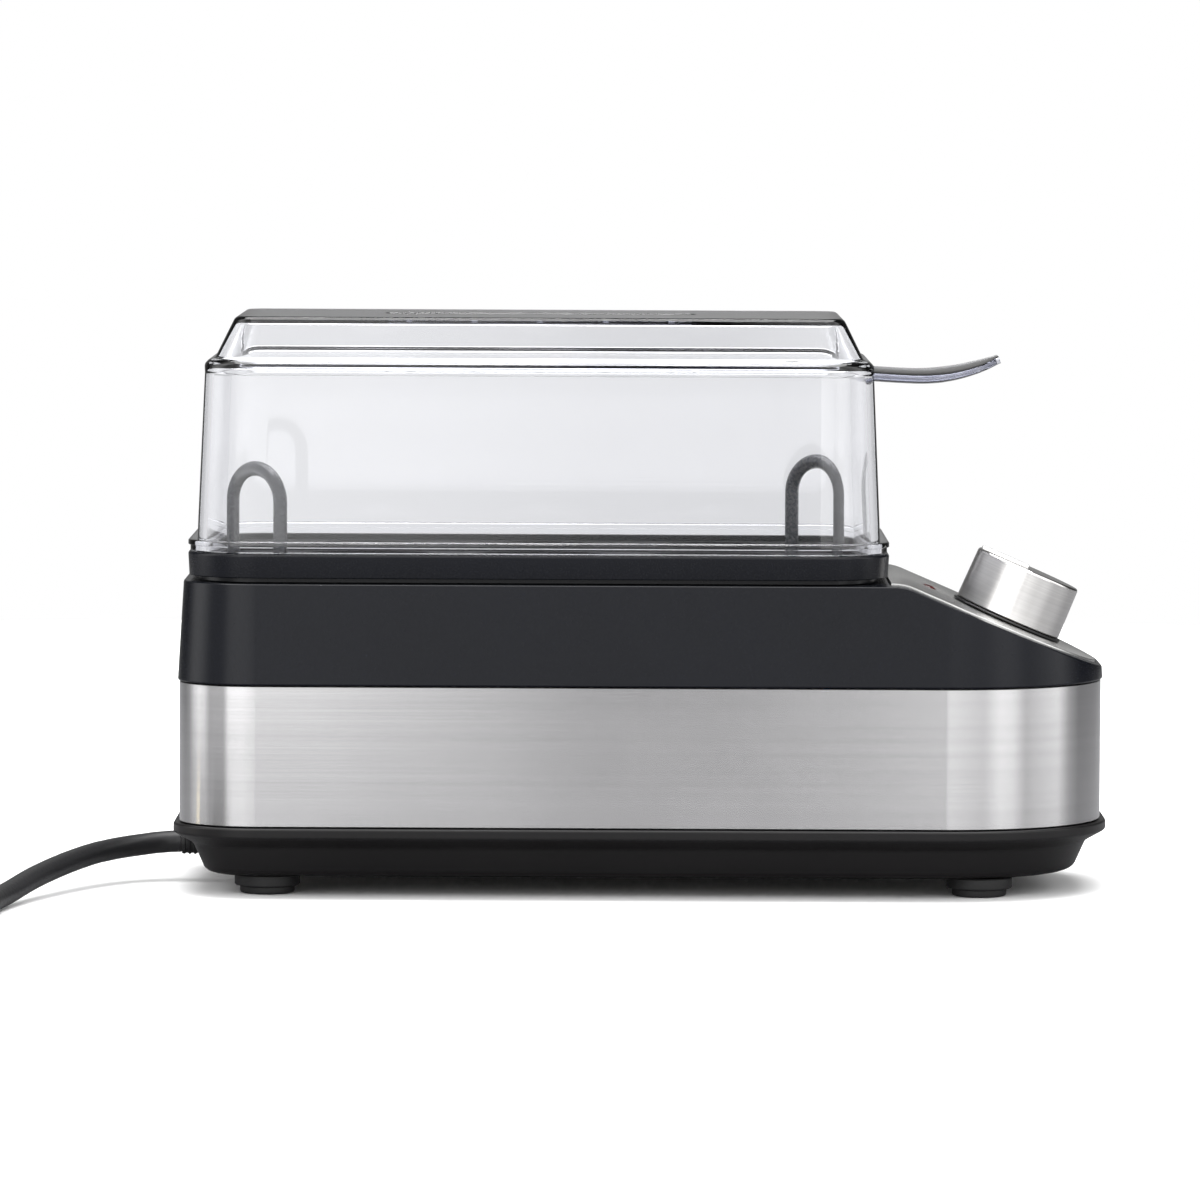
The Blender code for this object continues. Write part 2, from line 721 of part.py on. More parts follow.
def control_plate(axis):
    back = SURROUND_FRONT_X + GAP
    low = PLATE_PROUD - PLATE_THICKNESS
    solid = plate_solid("control_plate", back, low, PLATE_PROUD, 0.0)
    plate = keep(solid, BRUSHED_STEEL)
    combine(plate, rods("plate_bush_hole", [(0, 0, -0.01, 0.01, BUSH_RADIUS + GAP)], axis))
    combine(plate, rods("plate_lens_hole", [(lens_x(), 0, -0.01, 0.01, LENS_RADIUS + GAP)], axis))
    return plate


def lens_x():
    """The indicator's place on the knob frame's X, up the slope from the knob."""
    return -(KNOB_RING_RADIUS + LENS_FROM_RING)


def indicator_lens(axis):
    low = -DECK_THICKNESS - 0.001
    return turned_at(
        "indicator_lens",
        [
            (0, PLATE_PROUD + 0.0005),
            (LENS_RADIUS * 0.6, PLATE_PROUD + 0.0004),
            (LENS_RADIUS, PLATE_PROUD),
            (LENS_RADIUS, low),
            (0, low),
        ],
        LENS_RED,
        axis,
        lens_x(),
        16,
    )


def turned_at(name, profile, finish, axis, x, steps):
    made = turned(name, profile, finish, axis, steps)
    made.location.x = x
    return made


# ---- tray surround, seal, dish, rack -------------------------------------------------------


def tray_surround():
    foot_z = DECK_Z + GAP
    skirt_z = DECK_Z + SHADOW_GAP
    lip_in = SURROUND_LIP_INSET
    lip_out = lip_in - SURROUND_LIP_THICKNESS
    return stack(
        "tray_surround",
        tray_outline,
        [
            (foot_z, SURROUND_FOOT_INSET),
            (skirt_z, SURROUND_FOOT_INSET),
            (skirt_z, 0.0003),
            (SURROUND_TOP_Z - SURROUND_SOFT_EDGE, 0.0),
            (SURROUND_TOP_Z, SURROUND_SOFT_EDGE),
            (SURROUND_TOP_Z, SURROUND_RIM),
            (RECESS_FLOOR_Z, SURROUND_RIM + 0.0002),
            (RECESS_FLOOR_Z, lip_in),
            (foot_z - SURROUND_LIP_DEPTH, lip_in),
            (foot_z - SURROUND_LIP_DEPTH, lip_out),
            (foot_z, lip_out),
        ],
        SATIN_BLACK,
        wrap=True,
    )


def dish_seal():
    bottom = RECESS_FLOOR_Z + GAP
    edge = SURROUND_RIM + DISH_EDGE
    return flat_piece(
        "dish_seal",
        [tray_outline(edge), tray_outline(SURROUND_LIP_INSET)],
        bottom,
        bottom + SEAL_THICKNESS,
        SILICONE,
    )


def heating_dish():
    flange, t = DISH_FLANGE_Z, DISH_THICKNESS
    edge = SURROUND_RIM + DISH_EDGE
    wall = SURROUND_LIP_INSET + 2 * GAP
    return stack(
        "heating_dish",
        tray_outline,
        [
            (DISH_BOTTOM_Z, wall + 0.0040),
            (DISH_BOTTOM_Z + 0.0006, wall + 0.0022),
            (DISH_BOTTOM_Z + 0.0020, wall + 0.0012),
            (flange, wall),
            (flange, edge),
            (flange + t, edge),
            (flange + t, wall + t),
            (DISH_BOTTOM_Z + 0.0026, wall + 0.0012 + t),
            (DISH_BOTTOM_Z + t + 0.0004, wall + 0.0024 + t),
            (DISH_BOTTOM_Z + t, wall + 0.0042 + t),
        ],
        DISH_STEEL,
    )


def egg_centres():
    return [
        (TRAY_X + (column - (EGG_COLUMNS - 1) / 2) * EGG_PITCH_X, row * EGG_PITCH_Y / 2)
        for column in range(EGG_COLUMNS)
        for row in (-1, 1)
    ]


def grip_places():
    """Each grip's middle, in opposite corners of the rack: (name, x, y)."""
    out = SURROUND_LENGTH / 2 - GRIP_FROM_END
    across = SURROUND_WIDTH / 2 - GRIP_FROM_SIDE
    return [("rear", TRAY_X - out, -across), ("front", TRAY_X + out, across)]


def grip_legs(x, y):
    step = GRIP_HALF_SPAN / 2**0.5
    return [(x - step, y + step), (x + step, y - step)]


def egg_rack():
    holes = [circle(x, y, EGG_HOLE_RADIUS) for x, y in egg_centres()]
    for _, x, y in grip_places():
        holes += [circle(lx, ly, GRIP_RADIUS + GAP, 12) for lx, ly in grip_legs(x, y)]
    steam = [
        circle(TRAY_X + (column - (EGG_COLUMNS - 2) / 2) * EGG_PITCH_X, 0, STEAM_HOLE_RADIUS, 12)
        for column in range(EGG_COLUMNS - 1)
    ]
    return flat_piece(
        "egg_rack",
        [tray_outline(RACK_INSET), *holes, *steam],
        RACK_Z,
        RACK_Z + RACK_THICKNESS,
        SATIN_BLACK,
    )


def rack_grip(name, x, y):
    """A round bar bent into an arch, its legs through the rack."""
    top = GRIP_TOP_Z - GRIP_RADIUS
    half = GRIP_HALF_SPAN
    side = [(-half, RACK_Z), (-half, (RACK_Z + top) / 2), (-half, top - GRIP_ARCH)]
    for k in range(1, 12):
        angle = pi * k / 12
        side.append((-half * cos(angle), top - GRIP_ARCH + GRIP_ARCH * sin(angle)))
    side += [(-u, z) for u, z in side[2::-1]]
    share = 1 / 2**0.5
    points = [(x + u * share, y - u * share, z) for u, z in side]
    return tube(name, points, GRIP_RADIUS, GRIP_GREY)


# ---- lid -----------------------------------------------------------------------------------


def lid():
    flange_top = LID_Z + LID_FLANGE_HEIGHT
    wall = LID_WALL_INSET
    shoulder = wall + LID_DRAFT_INSET
    slope = shoulder + LID_LEDGE
    crown = slope + LID_SLOPE_INSET
    t = LID_WALL
    body = stack(
        "lid",
        tray_outline,
        [
            (LID_TOP_Z, crown + 0.0010),
            (LID_TOP_Z - 0.0004, crown),
            (LID_SHOULDER_Z + 0.0004, slope),
            (LID_SHOULDER_Z, slope - 0.0008),
            (LID_SHOULDER_Z - 0.0003, shoulder + 0.0008),
            (LID_SHOULDER_Z - 0.0014, shoulder),
            (flange_top, wall),
            (flange_top, 0.0003),
            (flange_top - 0.0003, 0.0),
            (flange_top - 0.0015, 0.0),
            (flange_top - 0.0015, 0.0006),
            (LID_Z, 0.0006),
            (LID_Z, wall + t),
            (LID_SHOULDER_Z - 0.0030, shoulder + t),
            (LID_SHOULDER_Z - t, shoulder + t + 0.0010),
            (LID_SHOULDER_Z - t + 0.0004, slope + t * 0.75),
            (LID_TOP_Z - t, crown + t * 0.75),
        ],
        CLEAR_PLASTIC,
    )
    combine(body, lid_tongue(), "UNION")
    groove = VENT_PITCH * (VENT_COUNT - 1) / 2 + 0.007
    combine(
        body,
        blocks("vent_groove", [(
            TRAY_X - groove, TRAY_X + groove, -VENT_GROOVE_WIDTH / 2, VENT_GROOVE_WIDTH / 2,
            LID_TOP_Z - VENT_GROOVE_DEPTH, LID_TOP_Z + 0.002,
        )]),
    )
    vents = [
        (TRAY_X + (k - (VENT_COUNT - 1) / 2) * VENT_PITCH, 0, LID_TOP_Z - 2 * t, LID_TOP_Z + t,
         VENT_RADIUS)
        for k in range(VENT_COUNT)
    ]
    combine(body, rods("steam_vents", vents, steps=12))
    return body


def lid_tongue():
    """The tongue handle: a curved plate with a round tip, rooted in the lid's front wall."""
    root = SURROUND_FRONT_X - LID_WALL_INSET - LID_DRAFT_INSET - LID_WALL * 0.6
    length = TONGUE_LENGTH + LID_WALL * 0.6
    half = TONGUE_THICKNESS / 2
    stations = 14
    rings = []
    for k in range(stations + 1):
        share = sin(pi / 2 * k / stations)
        along = share * length
        lift = TONGUE_RISE * max(0.0, (share - 0.35) / 0.65) ** 2 - 0.0008 * sin(pi * share)
        slant = 2 * TONGUE_RISE * max(0.0, (share - 0.35) / 0.65) / (0.65 * length)
        round_off = max(0.0, (along - (length - 0.018)) / 0.018)
        width = TONGUE_WIDTH / 2 * max(0.12, (1 - round_off**2.2)) ** 0.5
        thick = half * (1.0 - 0.35 * round_off)
        angle = atan2(slant, 1.0)
        ring = []
        for across, up in (
            (-1, -0.5), (-0.97, -1), (0.97, -1), (1, -0.5), (1, 0.5), (0.97, 1), (-0.97, 1), (-1, 0.5),
        ):
            ring.append((
                root + along - up * thick * sin(angle),
                across * width,
                TONGUE_Z + lift + up * thick * cos(angle),
            ))
        rings.append(ring)
    return loft("lid_tongue", rings)


# ---- control knob and what is behind it ----------------------------------------------------


def knob_parts(axis):
    seat = PLATE_PROUD + GAP
    ring_top = seat + KNOB_RING_HEIGHT
    turned(
        "knob_ring",
        [
            (KNOB_RING_RADIUS - 0.0006, ring_top),
            (KNOB_RING_RADIUS, ring_top - 0.0003),
            (KNOB_RING_RADIUS, seat),
            (BUSH_RADIUS + 0.0050, seat),
            (BUSH_RADIUS + 0.0050, ring_top),
        ],
        RUBBER,
        axis,
    )
    low = ring_top + GAP
    top = low + KNOB_HEIGHT
    cap = turned(
        "knob_cap",
        [
            (0, top),
            (KNOB_TOP_RADIUS - 0.0005, top),
            (KNOB_TOP_RADIUS, top - 0.0005),
            (KNOB_RADIUS, low),
            (KNOB_RADIUS - KNOB_WALL, low),
            (KNOB_TOP_RADIUS - KNOB_WALL, top - KNOB_WALL - 0.001),
            (KNOB_TOP_RADIUS - KNOB_WALL - 0.001, top - KNOB_WALL),
            (0, top - KNOB_WALL),
        ],
        ALUMINIUM,
        axis,
        28,
    )
    ridge = blocks(
        "knob_pointer",
        [(-KNOB_TOP_RADIUS + 0.0008, 0, -POINTER_WIDTH / 2, POINTER_WIDTH / 2,
          top - KNOB_WALL / 2, top + POINTER_HEIGHT)],
        parent=axis,
    )
    combine(cap, ridge, "UNION")

    hub_top = top - KNOB_WALL - GAP
    hub_low = seat + NUT_HEIGHT + 2 * GAP
    hub = KNOB_TOP_RADIUS - KNOB_WALL - 0.0010 - GAP
    bore = SHAFT_RADIUS + GAP
    turned(
        "knob_hub",
        [
            (bore, hub_top),
            (hub, hub_top),
            (hub, hub_top - 0.0030),
            (BUSH_RADIUS + 0.0040, hub_top - 0.0030),
            (BUSH_RADIUS + 0.0040, hub_low),
            (BUSH_RADIUS + 0.0010, hub_low),
            (BUSH_RADIUS + 0.0010, hub_top - 0.0062),
            (bore, hub_top - 0.0062),
        ],
        PAN_BLACK,
        axis,
    )
    bush_top = hub_top - 0.0072
    body_top = -DECK_THICKNESS - GAP
    body_low = body_top - CONTROL_DEPTH
    half = CONTROL_BODY / 2
    body = blocks("rotary_control", [(-half, half, -half, half, body_low, body_top)], NYLON, axis)
    combine(body, rods("control_bush", [(0, 0, body_top - 0.001, bush_top, BUSH_RADIUS)], axis),
            "UNION")
    combine(body, rods("control_bore", [(0, 0, body_low + 0.002, bush_top + 0.001,
                                         SHAFT_RADIUS + GAP)], axis))
    shaft = rods("control_shaft", [(0, 0, body_low + 0.0023, hub_top - 0.0003, SHAFT_RADIUS)], axis)
    keep(shaft, BRASS)
    flat = blocks("shaft_flat", [(SHAFT_RADIUS * 0.5, SHAFT_RADIUS * 2, -SHAFT_RADIUS * 2,
                                  SHAFT_RADIUS * 2, hub_top - 0.0060, hub_top + 0.001)],
                  parent=axis)
    combine(shaft, flat)
    flat_piece(
        "bush_nut",
        [circle(0, 0, BUSH_RADIUS + NUT_RIM, 6), circle(0, 0, BUSH_RADIUS + GAP)],
        seat,
        seat + NUT_HEIGHT,
        BRASS,
        axis,
    )


# ---- heater and electrics ------------------------------------------------------------------


def heater_parts():
    z = DISH_BOTTOM_Z - GAP - ELEMENT_RADIUS
    half = EGG_PITCH_Y / 2
    rear = TRAY_X - SURROUND_LENGTH / 2 + 0.0600
    front = TRAY_X + SURROUND_LENGTH / 2 - 0.0300
    loop = [(front, -half, z), ((front + rear) / 2, -half, z), (rear, -half, z)]
    for k in range(1, 12):
        angle = pi * k / 12
        loop.append((rear - half * sin(angle), -half * cos(angle), z))
    loop += [(x, -y, z) for x, y, z in loop[2::-1]]
    tube("heating_element", loop, ELEMENT_RADIUS, DISH_STEEL)

    top = DISH_BOTTOM_Z - GAP
    thermostat = turned(
        "thermostat",
        [
            (0, top),
            (THERMOSTAT_RADIUS, top),
            (THERMOSTAT_RADIUS, top - 0.0040),
            (THERMOSTAT_RADIUS * 0.75, top - 0.0045),
            (THERMOSTAT_RADIUS * 0.75, top - 0.0110),
            (0, top - 0.0110),
        ],
        NYLON,
    )
    thermostat.location.x = TRAY_X
    fuse_x = TRAY_X + EGG_PITCH_X
    fuse_z = top - 0.0025
    tube(
        "thermal_fuse",
        [(fuse_x, -0.008, fuse_z), (fuse_x, 0, fuse_z), (fuse_x, 0.008, fuse_z)],
        0.0024,
        BRASS,
    )
    return front, half, z


def electric_parts(element_x, element_y, element_z):
    x0, x1 = board_span()
    half = BOARD_WIDTH / 2
    flat_piece(
        "control_board",
        [[(x0, -half), (x1, -half), (x1, half), (x0, half)]],
        BOARD_Z,
        BOARD_Z + BOARD_THICKNESS,
        BOARD_GREEN,
    )
    board_top = BOARD_Z + BOARD_THICKNESS + GAP
    buzzer = turned(
        "buzzer",
        [
            (0, board_top + BUZZER_HEIGHT - 0.001),
            (0.0012, board_top + BUZZER_HEIGHT - 0.001),
            (0.0012, board_top + BUZZER_HEIGHT),
            (BUZZER_RADIUS, board_top + BUZZER_HEIGHT),
            (BUZZER_RADIUS, board_top),
            (0, board_top),
        ],
        PAN_BLACK,
        steps=24,
    )
    buzzer.location = (x0 + 0.012, half - 0.012, 0)

    floor = PAN_INNER_FLOOR_Z + GAP
    block_x = gland_inner_x() + 0.0180
    terminal = blocks(
        "terminal_block", [(block_x, block_x + 0.016, -0.014, 0.014, floor, floor + 0.011)], NYLON
    )
    ports = [(0, y, -0.03, 0.03, LEAD_RADIUS + GAP) for y in (-0.009, 0.0, 0.009)]
    bores = rods("terminal_bores", ports, steps=12)
    bores.rotation_euler = (0, pi / 2, 0)
    bores.location = (block_x, 0, CORD_Z)
    combine(terminal, bores)

    clamp_x = gland_inner_x() - 0.0075
    height = CORD_Z + RELIEF_RADIUS + 0.0030
    clamp = blocks("cord_clamp", [(clamp_x, clamp_x + 0.0055, -0.011, 0.011, floor, height)], NYLON)
    channel = rods("clamp_channel", [(0, 0, -0.02, 0.02, RELIEF_RADIUS + GAP)])
    channel.rotation_euler = (0, pi / 2, 0)
    channel.location = (clamp_x, 0, CORD_Z)
    combine(clamp, channel)
    slot = RELIEF_RADIUS + GAP
    combine(clamp, blocks("clamp_slot", [(clamp_x - 0.01, clamp_x + 0.02, -slot, slot,
                                          -0.01, CORD_Z)]))

    leads = (("live", 0.009, LEAD_BROWN), ("neutral", -0.009, LEAD_BLUE), ("earth", 0.0, LEAD_EARTH))
    start = gland_inner_x() + GAP
    for word, y, finish in leads:
        near = y * 0.3
        route = [
            (x, across, CORD_Z)
            for x, across in (
                (start, near), (start + 0.003, near), (start + 0.011, y), (block_x - 0.003, y),
                (block_x, y), (block_x + 0.006, y),
            )
        ]
        tube("supply_lead_" + word, smooth_route(route, 0.003), LEAD_RADIUS, finish, 2)

    for word, side, finish in (("live", 1, LEAD_BROWN), ("neutral", -1, LEAD_BLUE)):
        y = side * element_y
        route = [
            (x0 - 0.006, side * 0.012, BOARD_Z + 0.001),
            (x0 - 0.018, side * 0.016, BOARD_Z + 0.008),
            (element_x + 0.012, y, (BOARD_Z + element_z) / 2),
            (element_x + 0.010, y, element_z - 0.006),
            (element_x + GAP + 0.0015, y, element_z),
        ]
        tube("element_lead_" + word, smooth_route(route, 0.006), LEAD_RADIUS, finish, 2)


# ---- mains lead ----------------------------------------------------------------------------


def gland_inner_x():
    return CORD_START_X + GAP + RELIEF_LENGTH


def strain_relief():
    tip = -(CORD_START_X + GAP)
    inner = -gland_inner_x()
    wall = -(BACK_X + 0.0060)
    made = turned(
        "strain_relief",
        [
            (0, tip),
            (RELIEF_TIP_RADIUS, tip),
            (RELIEF_RADIUS - 0.0001, wall),
            (RELIEF_RADIUS, inner),
            (0, inner),
        ],
        RUBBER,
        steps=24,
    )
    made.rotation_euler = (0, -pi / 2, 0)
    made.location.z = CORD_Z
    return made


def mains_lead():
    strain_relief()
    spacing = 2.2 * 2 * CORD_RADIUS
    tube("cord", smooth_route(CORD_ROUTE, spacing), CORD_RADIUS, CORD_BLACK, 2)
    tube("cord_tail", smooth_route(TAIL_ROUTE, spacing), CORD_RADIUS, CORD_BLACK, 2)
    inner, outer = COIL_RADIUS - 2 * CORD_RADIUS, COIL_RADIUS + 2 * CORD_RADIUS
    low, high, soft = CORD_FLOOR_Z - CORD_RADIUS, CORD_FLOOR_Z + 2.9 * CORD_RADIUS, CORD_RADIUS * 0.6
    coil = turned(
        "cord_coil",
        [
            (inner + soft, high),
            (outer - soft, high),
            (outer, high - soft),
            (outer, low + soft),
            (outer - soft, low),
            (inner + soft, low),
            (inner, low + soft),
            (inner, high - soft),
        ],
        CORD_BLACK,
        steps=28,
    )
    coil.location = (*COIL_CENTRE, 0)
    plug(Vector(TAIL_ROUTE[-1]))


def plug(entry):
    """A three-pin plug, its cord entry at the given point, pointing along +Y."""
    sections = [  # along, half width, half thickness, how square
        (0.0, 0.0048, 0.0048, 2.0),
        (0.010, 0.0056, 0.0054, 2.0),
        (0.014, 0.0110, 0.0072, 2.6),
        (0.022, PLUG_WIDTH / 2 - 0.0015, PLUG_THICKNESS / 2, 4.0),
        (PLUG_LENGTH - 0.0015, PLUG_WIDTH / 2, PLUG_THICKNESS / 2, 4.0),
        (PLUG_LENGTH, PLUG_WIDTH / 2 - 0.001, PLUG_THICKNESS / 2 - 0.001, 4.0),
    ]
    start = entry.y + GAP
    rings = []
    for along, half_width, half_height, power in sections:
        ring = []
        for k in range(24):
            angle = 2 * pi * k / 24
            c, s = cos(angle), sin(angle)
            scale = (abs(c) ** power + abs(s) ** power) ** (-1 / power)
            ring.append((entry.x + half_width * c * scale, start + along,
                         entry.z + half_height * s * scale))
        rings.append(ring)
    loft("plug_body", rings, CORD_BLACK)
    face = start + PLUG_LENGTH + GAP
    pins = (("left", -PIN_SPACING / 2, 0.0), ("right", PIN_SPACING / 2, 0.0),
            ("earth", 0.0, PIN_EARTH_OFFSET))
    for word, across, up in pins:
        made = turned(
            "plug_pin_" + word,
            [(0, PIN_LENGTH), (PIN_RADIUS * 0.6, PIN_LENGTH), (PIN_RADIUS, PIN_LENGTH - 0.0010),
             (PIN_RADIUS, 0), (0, 0)],
            BRASS,
            steps=16,
        )
        made.rotation_euler = (-pi / 2, 0, 0)
        made.location = (entry.x + across, face, entry.z + up)


# ---- assembly ------------------------------------------------------------------------------

axis_frame = knob_frame()
base_pan()
for end, x, word, y in foot_places():
    foot(f"foot_{end}_{word}", x, y)
for end, x, word, y in screw_places():
    base_screw(f"base_screw_{end}_{word}", x, y)
steel_band()
upper_housing(axis_frame)
control_plate(axis_frame)
indicator_lens(axis_frame)
tray_surround()
dish_seal()
heating_dish()
egg_rack()
for end, x, y in grip_places():
    rack_grip(f"rack_grip_{end}", x, y)
lid()
knob_parts(axis_frame)
electric_parts(*heater_parts())
mains_lead()
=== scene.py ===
"""Looks of the egg cooker: fine surfaces, procedural materials, mains lead, light, camera."""

import json
from math import atan2, cos, pi, radians, sin, sqrt, tan

import bmesh
import bpy
from mathutils import Matrix, Vector

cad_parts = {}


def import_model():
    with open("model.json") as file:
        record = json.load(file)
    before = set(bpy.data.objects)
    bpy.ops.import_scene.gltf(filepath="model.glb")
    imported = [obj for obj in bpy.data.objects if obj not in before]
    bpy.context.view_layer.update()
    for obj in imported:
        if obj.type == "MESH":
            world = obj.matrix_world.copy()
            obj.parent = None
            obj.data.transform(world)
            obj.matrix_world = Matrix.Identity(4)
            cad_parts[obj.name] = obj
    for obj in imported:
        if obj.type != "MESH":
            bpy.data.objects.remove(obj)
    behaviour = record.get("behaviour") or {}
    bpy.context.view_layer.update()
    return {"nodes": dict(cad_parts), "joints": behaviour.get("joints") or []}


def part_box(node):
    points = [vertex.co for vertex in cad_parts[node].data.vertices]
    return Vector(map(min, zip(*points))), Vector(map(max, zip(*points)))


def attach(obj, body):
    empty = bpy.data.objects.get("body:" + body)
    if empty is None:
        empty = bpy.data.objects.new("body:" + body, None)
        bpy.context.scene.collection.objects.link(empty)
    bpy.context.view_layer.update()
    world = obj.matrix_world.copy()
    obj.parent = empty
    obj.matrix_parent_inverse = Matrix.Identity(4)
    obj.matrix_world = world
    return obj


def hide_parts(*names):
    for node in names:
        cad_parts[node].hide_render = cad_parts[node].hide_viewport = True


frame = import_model()
NODES = frame["nodes"]

# ---- places read from the frame -----------------------------------------------------------

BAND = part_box("steel_band")
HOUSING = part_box("upper_housing")
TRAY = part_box("tray_surround")
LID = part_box("lid")
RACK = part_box("egg_rack")
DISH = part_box("heating_dish")
KNOB_JOINT = next(j for j in frame["joints"] if j["name"] == "knob_turn")

GAP = 0.0003  # between pieces that touch
REAR_CORNER, NOSE_CORNER = 0.0224, 0.0460
BACK_X, NOSE_X = BAND[0].x, BAND[1].x
BODY_WIDTH = BAND[1].y - BAND[0].y
TRAY_LIP_DEPTH = 0.0034
DECK_Z = TRAY[0].z + TRAY_LIP_DEPTH - GAP
SLOPE = radians(23.2)
NOSE_TOP_Z = 0.0640
SLOPE_FILLET = 0.0150
SLOPE_CORNER_X = NOSE_X - (HOUSING[1].z - NOSE_TOP_Z) / tan(SLOPE)
TRAY_BACK, TRAY_FRONT = TRAY[0].x, TRAY[1].x
TRAY_WIDTH = TRAY[1].y - TRAY[0].y
TRAY_CORNER = 0.0200
TRAY_X = (TRAY_BACK + TRAY_FRONT) / 2
KNOB_AT = Vector(KNOB_JOINT["pos_m"])
CORD_RADIUS = 0.00315
CORD_FLOOR_Z = CORD_RADIUS + 0.0001

# the lead's route: from the gland to the coil, the coil's turns, and the short end to the plug
CORD_ROUTE = [
    (-0.1325, 0.0, 0.0110), (-0.1355, 0.0, 0.0109), (-0.1400, -0.0010, 0.0106),
    (-0.1470, -0.0055, 0.0100), (-0.1555, -0.0170, 0.0093), (-0.1635, -0.0350, 0.0079),
    (-0.1710, -0.0560, 0.0059), (-0.1768, -0.0770, 0.0037), (-0.1796, -0.0920, CORD_FLOOR_Z),
    (-0.1804, -0.1065, CORD_FLOOR_Z),
]
TAIL_ROUTE = [
    (-0.2636, -0.1145, CORD_FLOOR_Z), (-0.2636, -0.1045, 0.0042), (-0.2620, -0.0945, 0.0070),
    (-0.2600, -0.0860, 0.0085), (-0.2600, -0.0800, 0.0085),
]
COIL_CENTRE = Vector((-0.2190, -0.1275, 0.0))
COIL_RADIUS = 0.0345
COIL_TURNS = 3.5


# ---- camera; the cord's coil lies outside its view ---------------------------------------

camera_data = bpy.data.cameras.new("camera")
camera = bpy.data.objects.new("camera", camera_data)
bpy.context.scene.collection.objects.link(camera)
bpy.context.scene.camera = camera
camera_data.lens = 240.0
camera_data.sensor_width = 36.0
camera_data.clip_start, camera_data.clip_end = 0.1, 50.0
CAMERA_AT = Vector((-0.0122, -2.295, 0.234))
LOOK = Vector((0.0, 1.0, -0.0666))
camera.matrix_world = (
    Matrix.Translation(CAMERA_AT)
    @ LOOK.to_track_quat("-Z", "Y").to_matrix().to_4x4()
    @ Matrix.Rotation(radians(0.27), 4, "Z")
)


# ---- material helpers ---------------------------------------------------------------------


class Paint:
    """A Principled material and short ways to add nodes to it."""

    def __init__(self, name, colour, roughness, **sockets):
        self.material = bpy.data.materials.new(name)
        self.material.use_nodes = True
        self.tree = self.material.node_tree
        self.shader = self.tree.nodes["Principled BSDF"]
        self.shader.inputs["Base Color"].default_value = (*colour, 1.0)
        self.shader.inputs["Roughness"].default_value = roughness
        for socket, value in sockets.items():
            self.shader.inputs[socket.replace("_", " ")].default_value = value
        self.bumps = None

    def node(self, kind, **values):
        made = self.tree.nodes.new(kind)
        for key, value in values.items():
            if hasattr(made, key):
                setattr(made, key, value)
            else:
                made.inputs[key.replace("_", " ")].default_value = value
        return made

    def link(self, out, into):
        self.tree.links.new(out, into)

    def place(self, scale=(1, 1, 1)):
        """Object coordinates, in metres, scaled."""
        coordinates = self.node("ShaderNodeTexCoord")
        mapping = self.node("ShaderNodeMapping")
        mapping.inputs["Scale"].default_value = scale
        self.link(coordinates.outputs["Object"], mapping.inputs["Vector"])
        return mapping.outputs["Vector"]

    def noise(self, where, scale, detail=3.0, roughness=0.5):
        made = self.node("ShaderNodeTexNoise", Scale=scale, Detail=detail, Roughness=roughness)
        self.link(where, made.inputs["Vector"])
        return made.outputs["Fac"]

    def spread(self, value, low, high, from_low=0.3, from_high=0.7):
        """A value between from_low and from_high spread over low to high."""
        made = self.node("ShaderNodeMapRange")
        for socket, number in (("From Min", from_low), ("From Max", from_high),
                               ("To Min", low), ("To Max", high)):
            made.inputs[socket].default_value = number
        self.link(value, made.inputs["Value"])
        return made.outputs["Result"]

    def tint(self, value, first, second, from_low=0.3, from_high=0.7):
        """The base colour goes from first to second with the value."""
        ramp = self.node("ShaderNodeValToRGB")
        ramp.color_ramp.elements[0].position = from_low
        ramp.color_ramp.elements[1].position = from_high
        ramp.color_ramp.elements[0].color = (*first, 1.0)
        ramp.color_ramp.elements[1].color = (*second, 1.0)
        self.link(value, ramp.inputs["Fac"])
        self.link(ramp.outputs["Color"], self.shader.inputs["Base Color"])

    def rough(self, value, low, high, from_low=0.3, from_high=0.7):
        self.link(self.spread(value, low, high, from_low, from_high),
                  self.shader.inputs["Roughness"])

    def bump(self, height, distance, strength=1.0):
        """Adds a bump, in metres, on top of any earlier one."""
        made = self.node("ShaderNodeBump", Strength=strength, Distance=distance)
        self.link(height, made.inputs["Height"])
        if self.bumps:
            self.link(self.bumps, made.inputs["Normal"])
        self.bumps = made.outputs["Normal"]
        self.link(self.bumps, self.shader.inputs["Normal"])


def moulded(name, colour, roughness, grain=2400.0, depth=0.00002, mottle=0.12, **sockets):
    """Injection-moulded plastic: a fine spark-eroded grain and slight unevenness of gloss."""
    paint = Paint(name, colour, roughness, **sockets)
    where = paint.place()
    broad = paint.noise(where, 18.0, 4.0)
    fine = paint.noise(where, grain, 2.0, 0.6)
    lighter = tuple(min(1.0, c * (1 + mottle)) for c in colour)
    darker = tuple(c * (1 - mottle) for c in colour)
    paint.tint(broad, darker, lighter)
    paint.rough(fine, roughness - 0.04, roughness + 0.06)
    paint.bump(fine, depth, 0.6)
    return paint.material


SCRATCH_DEPTH = 0.000012


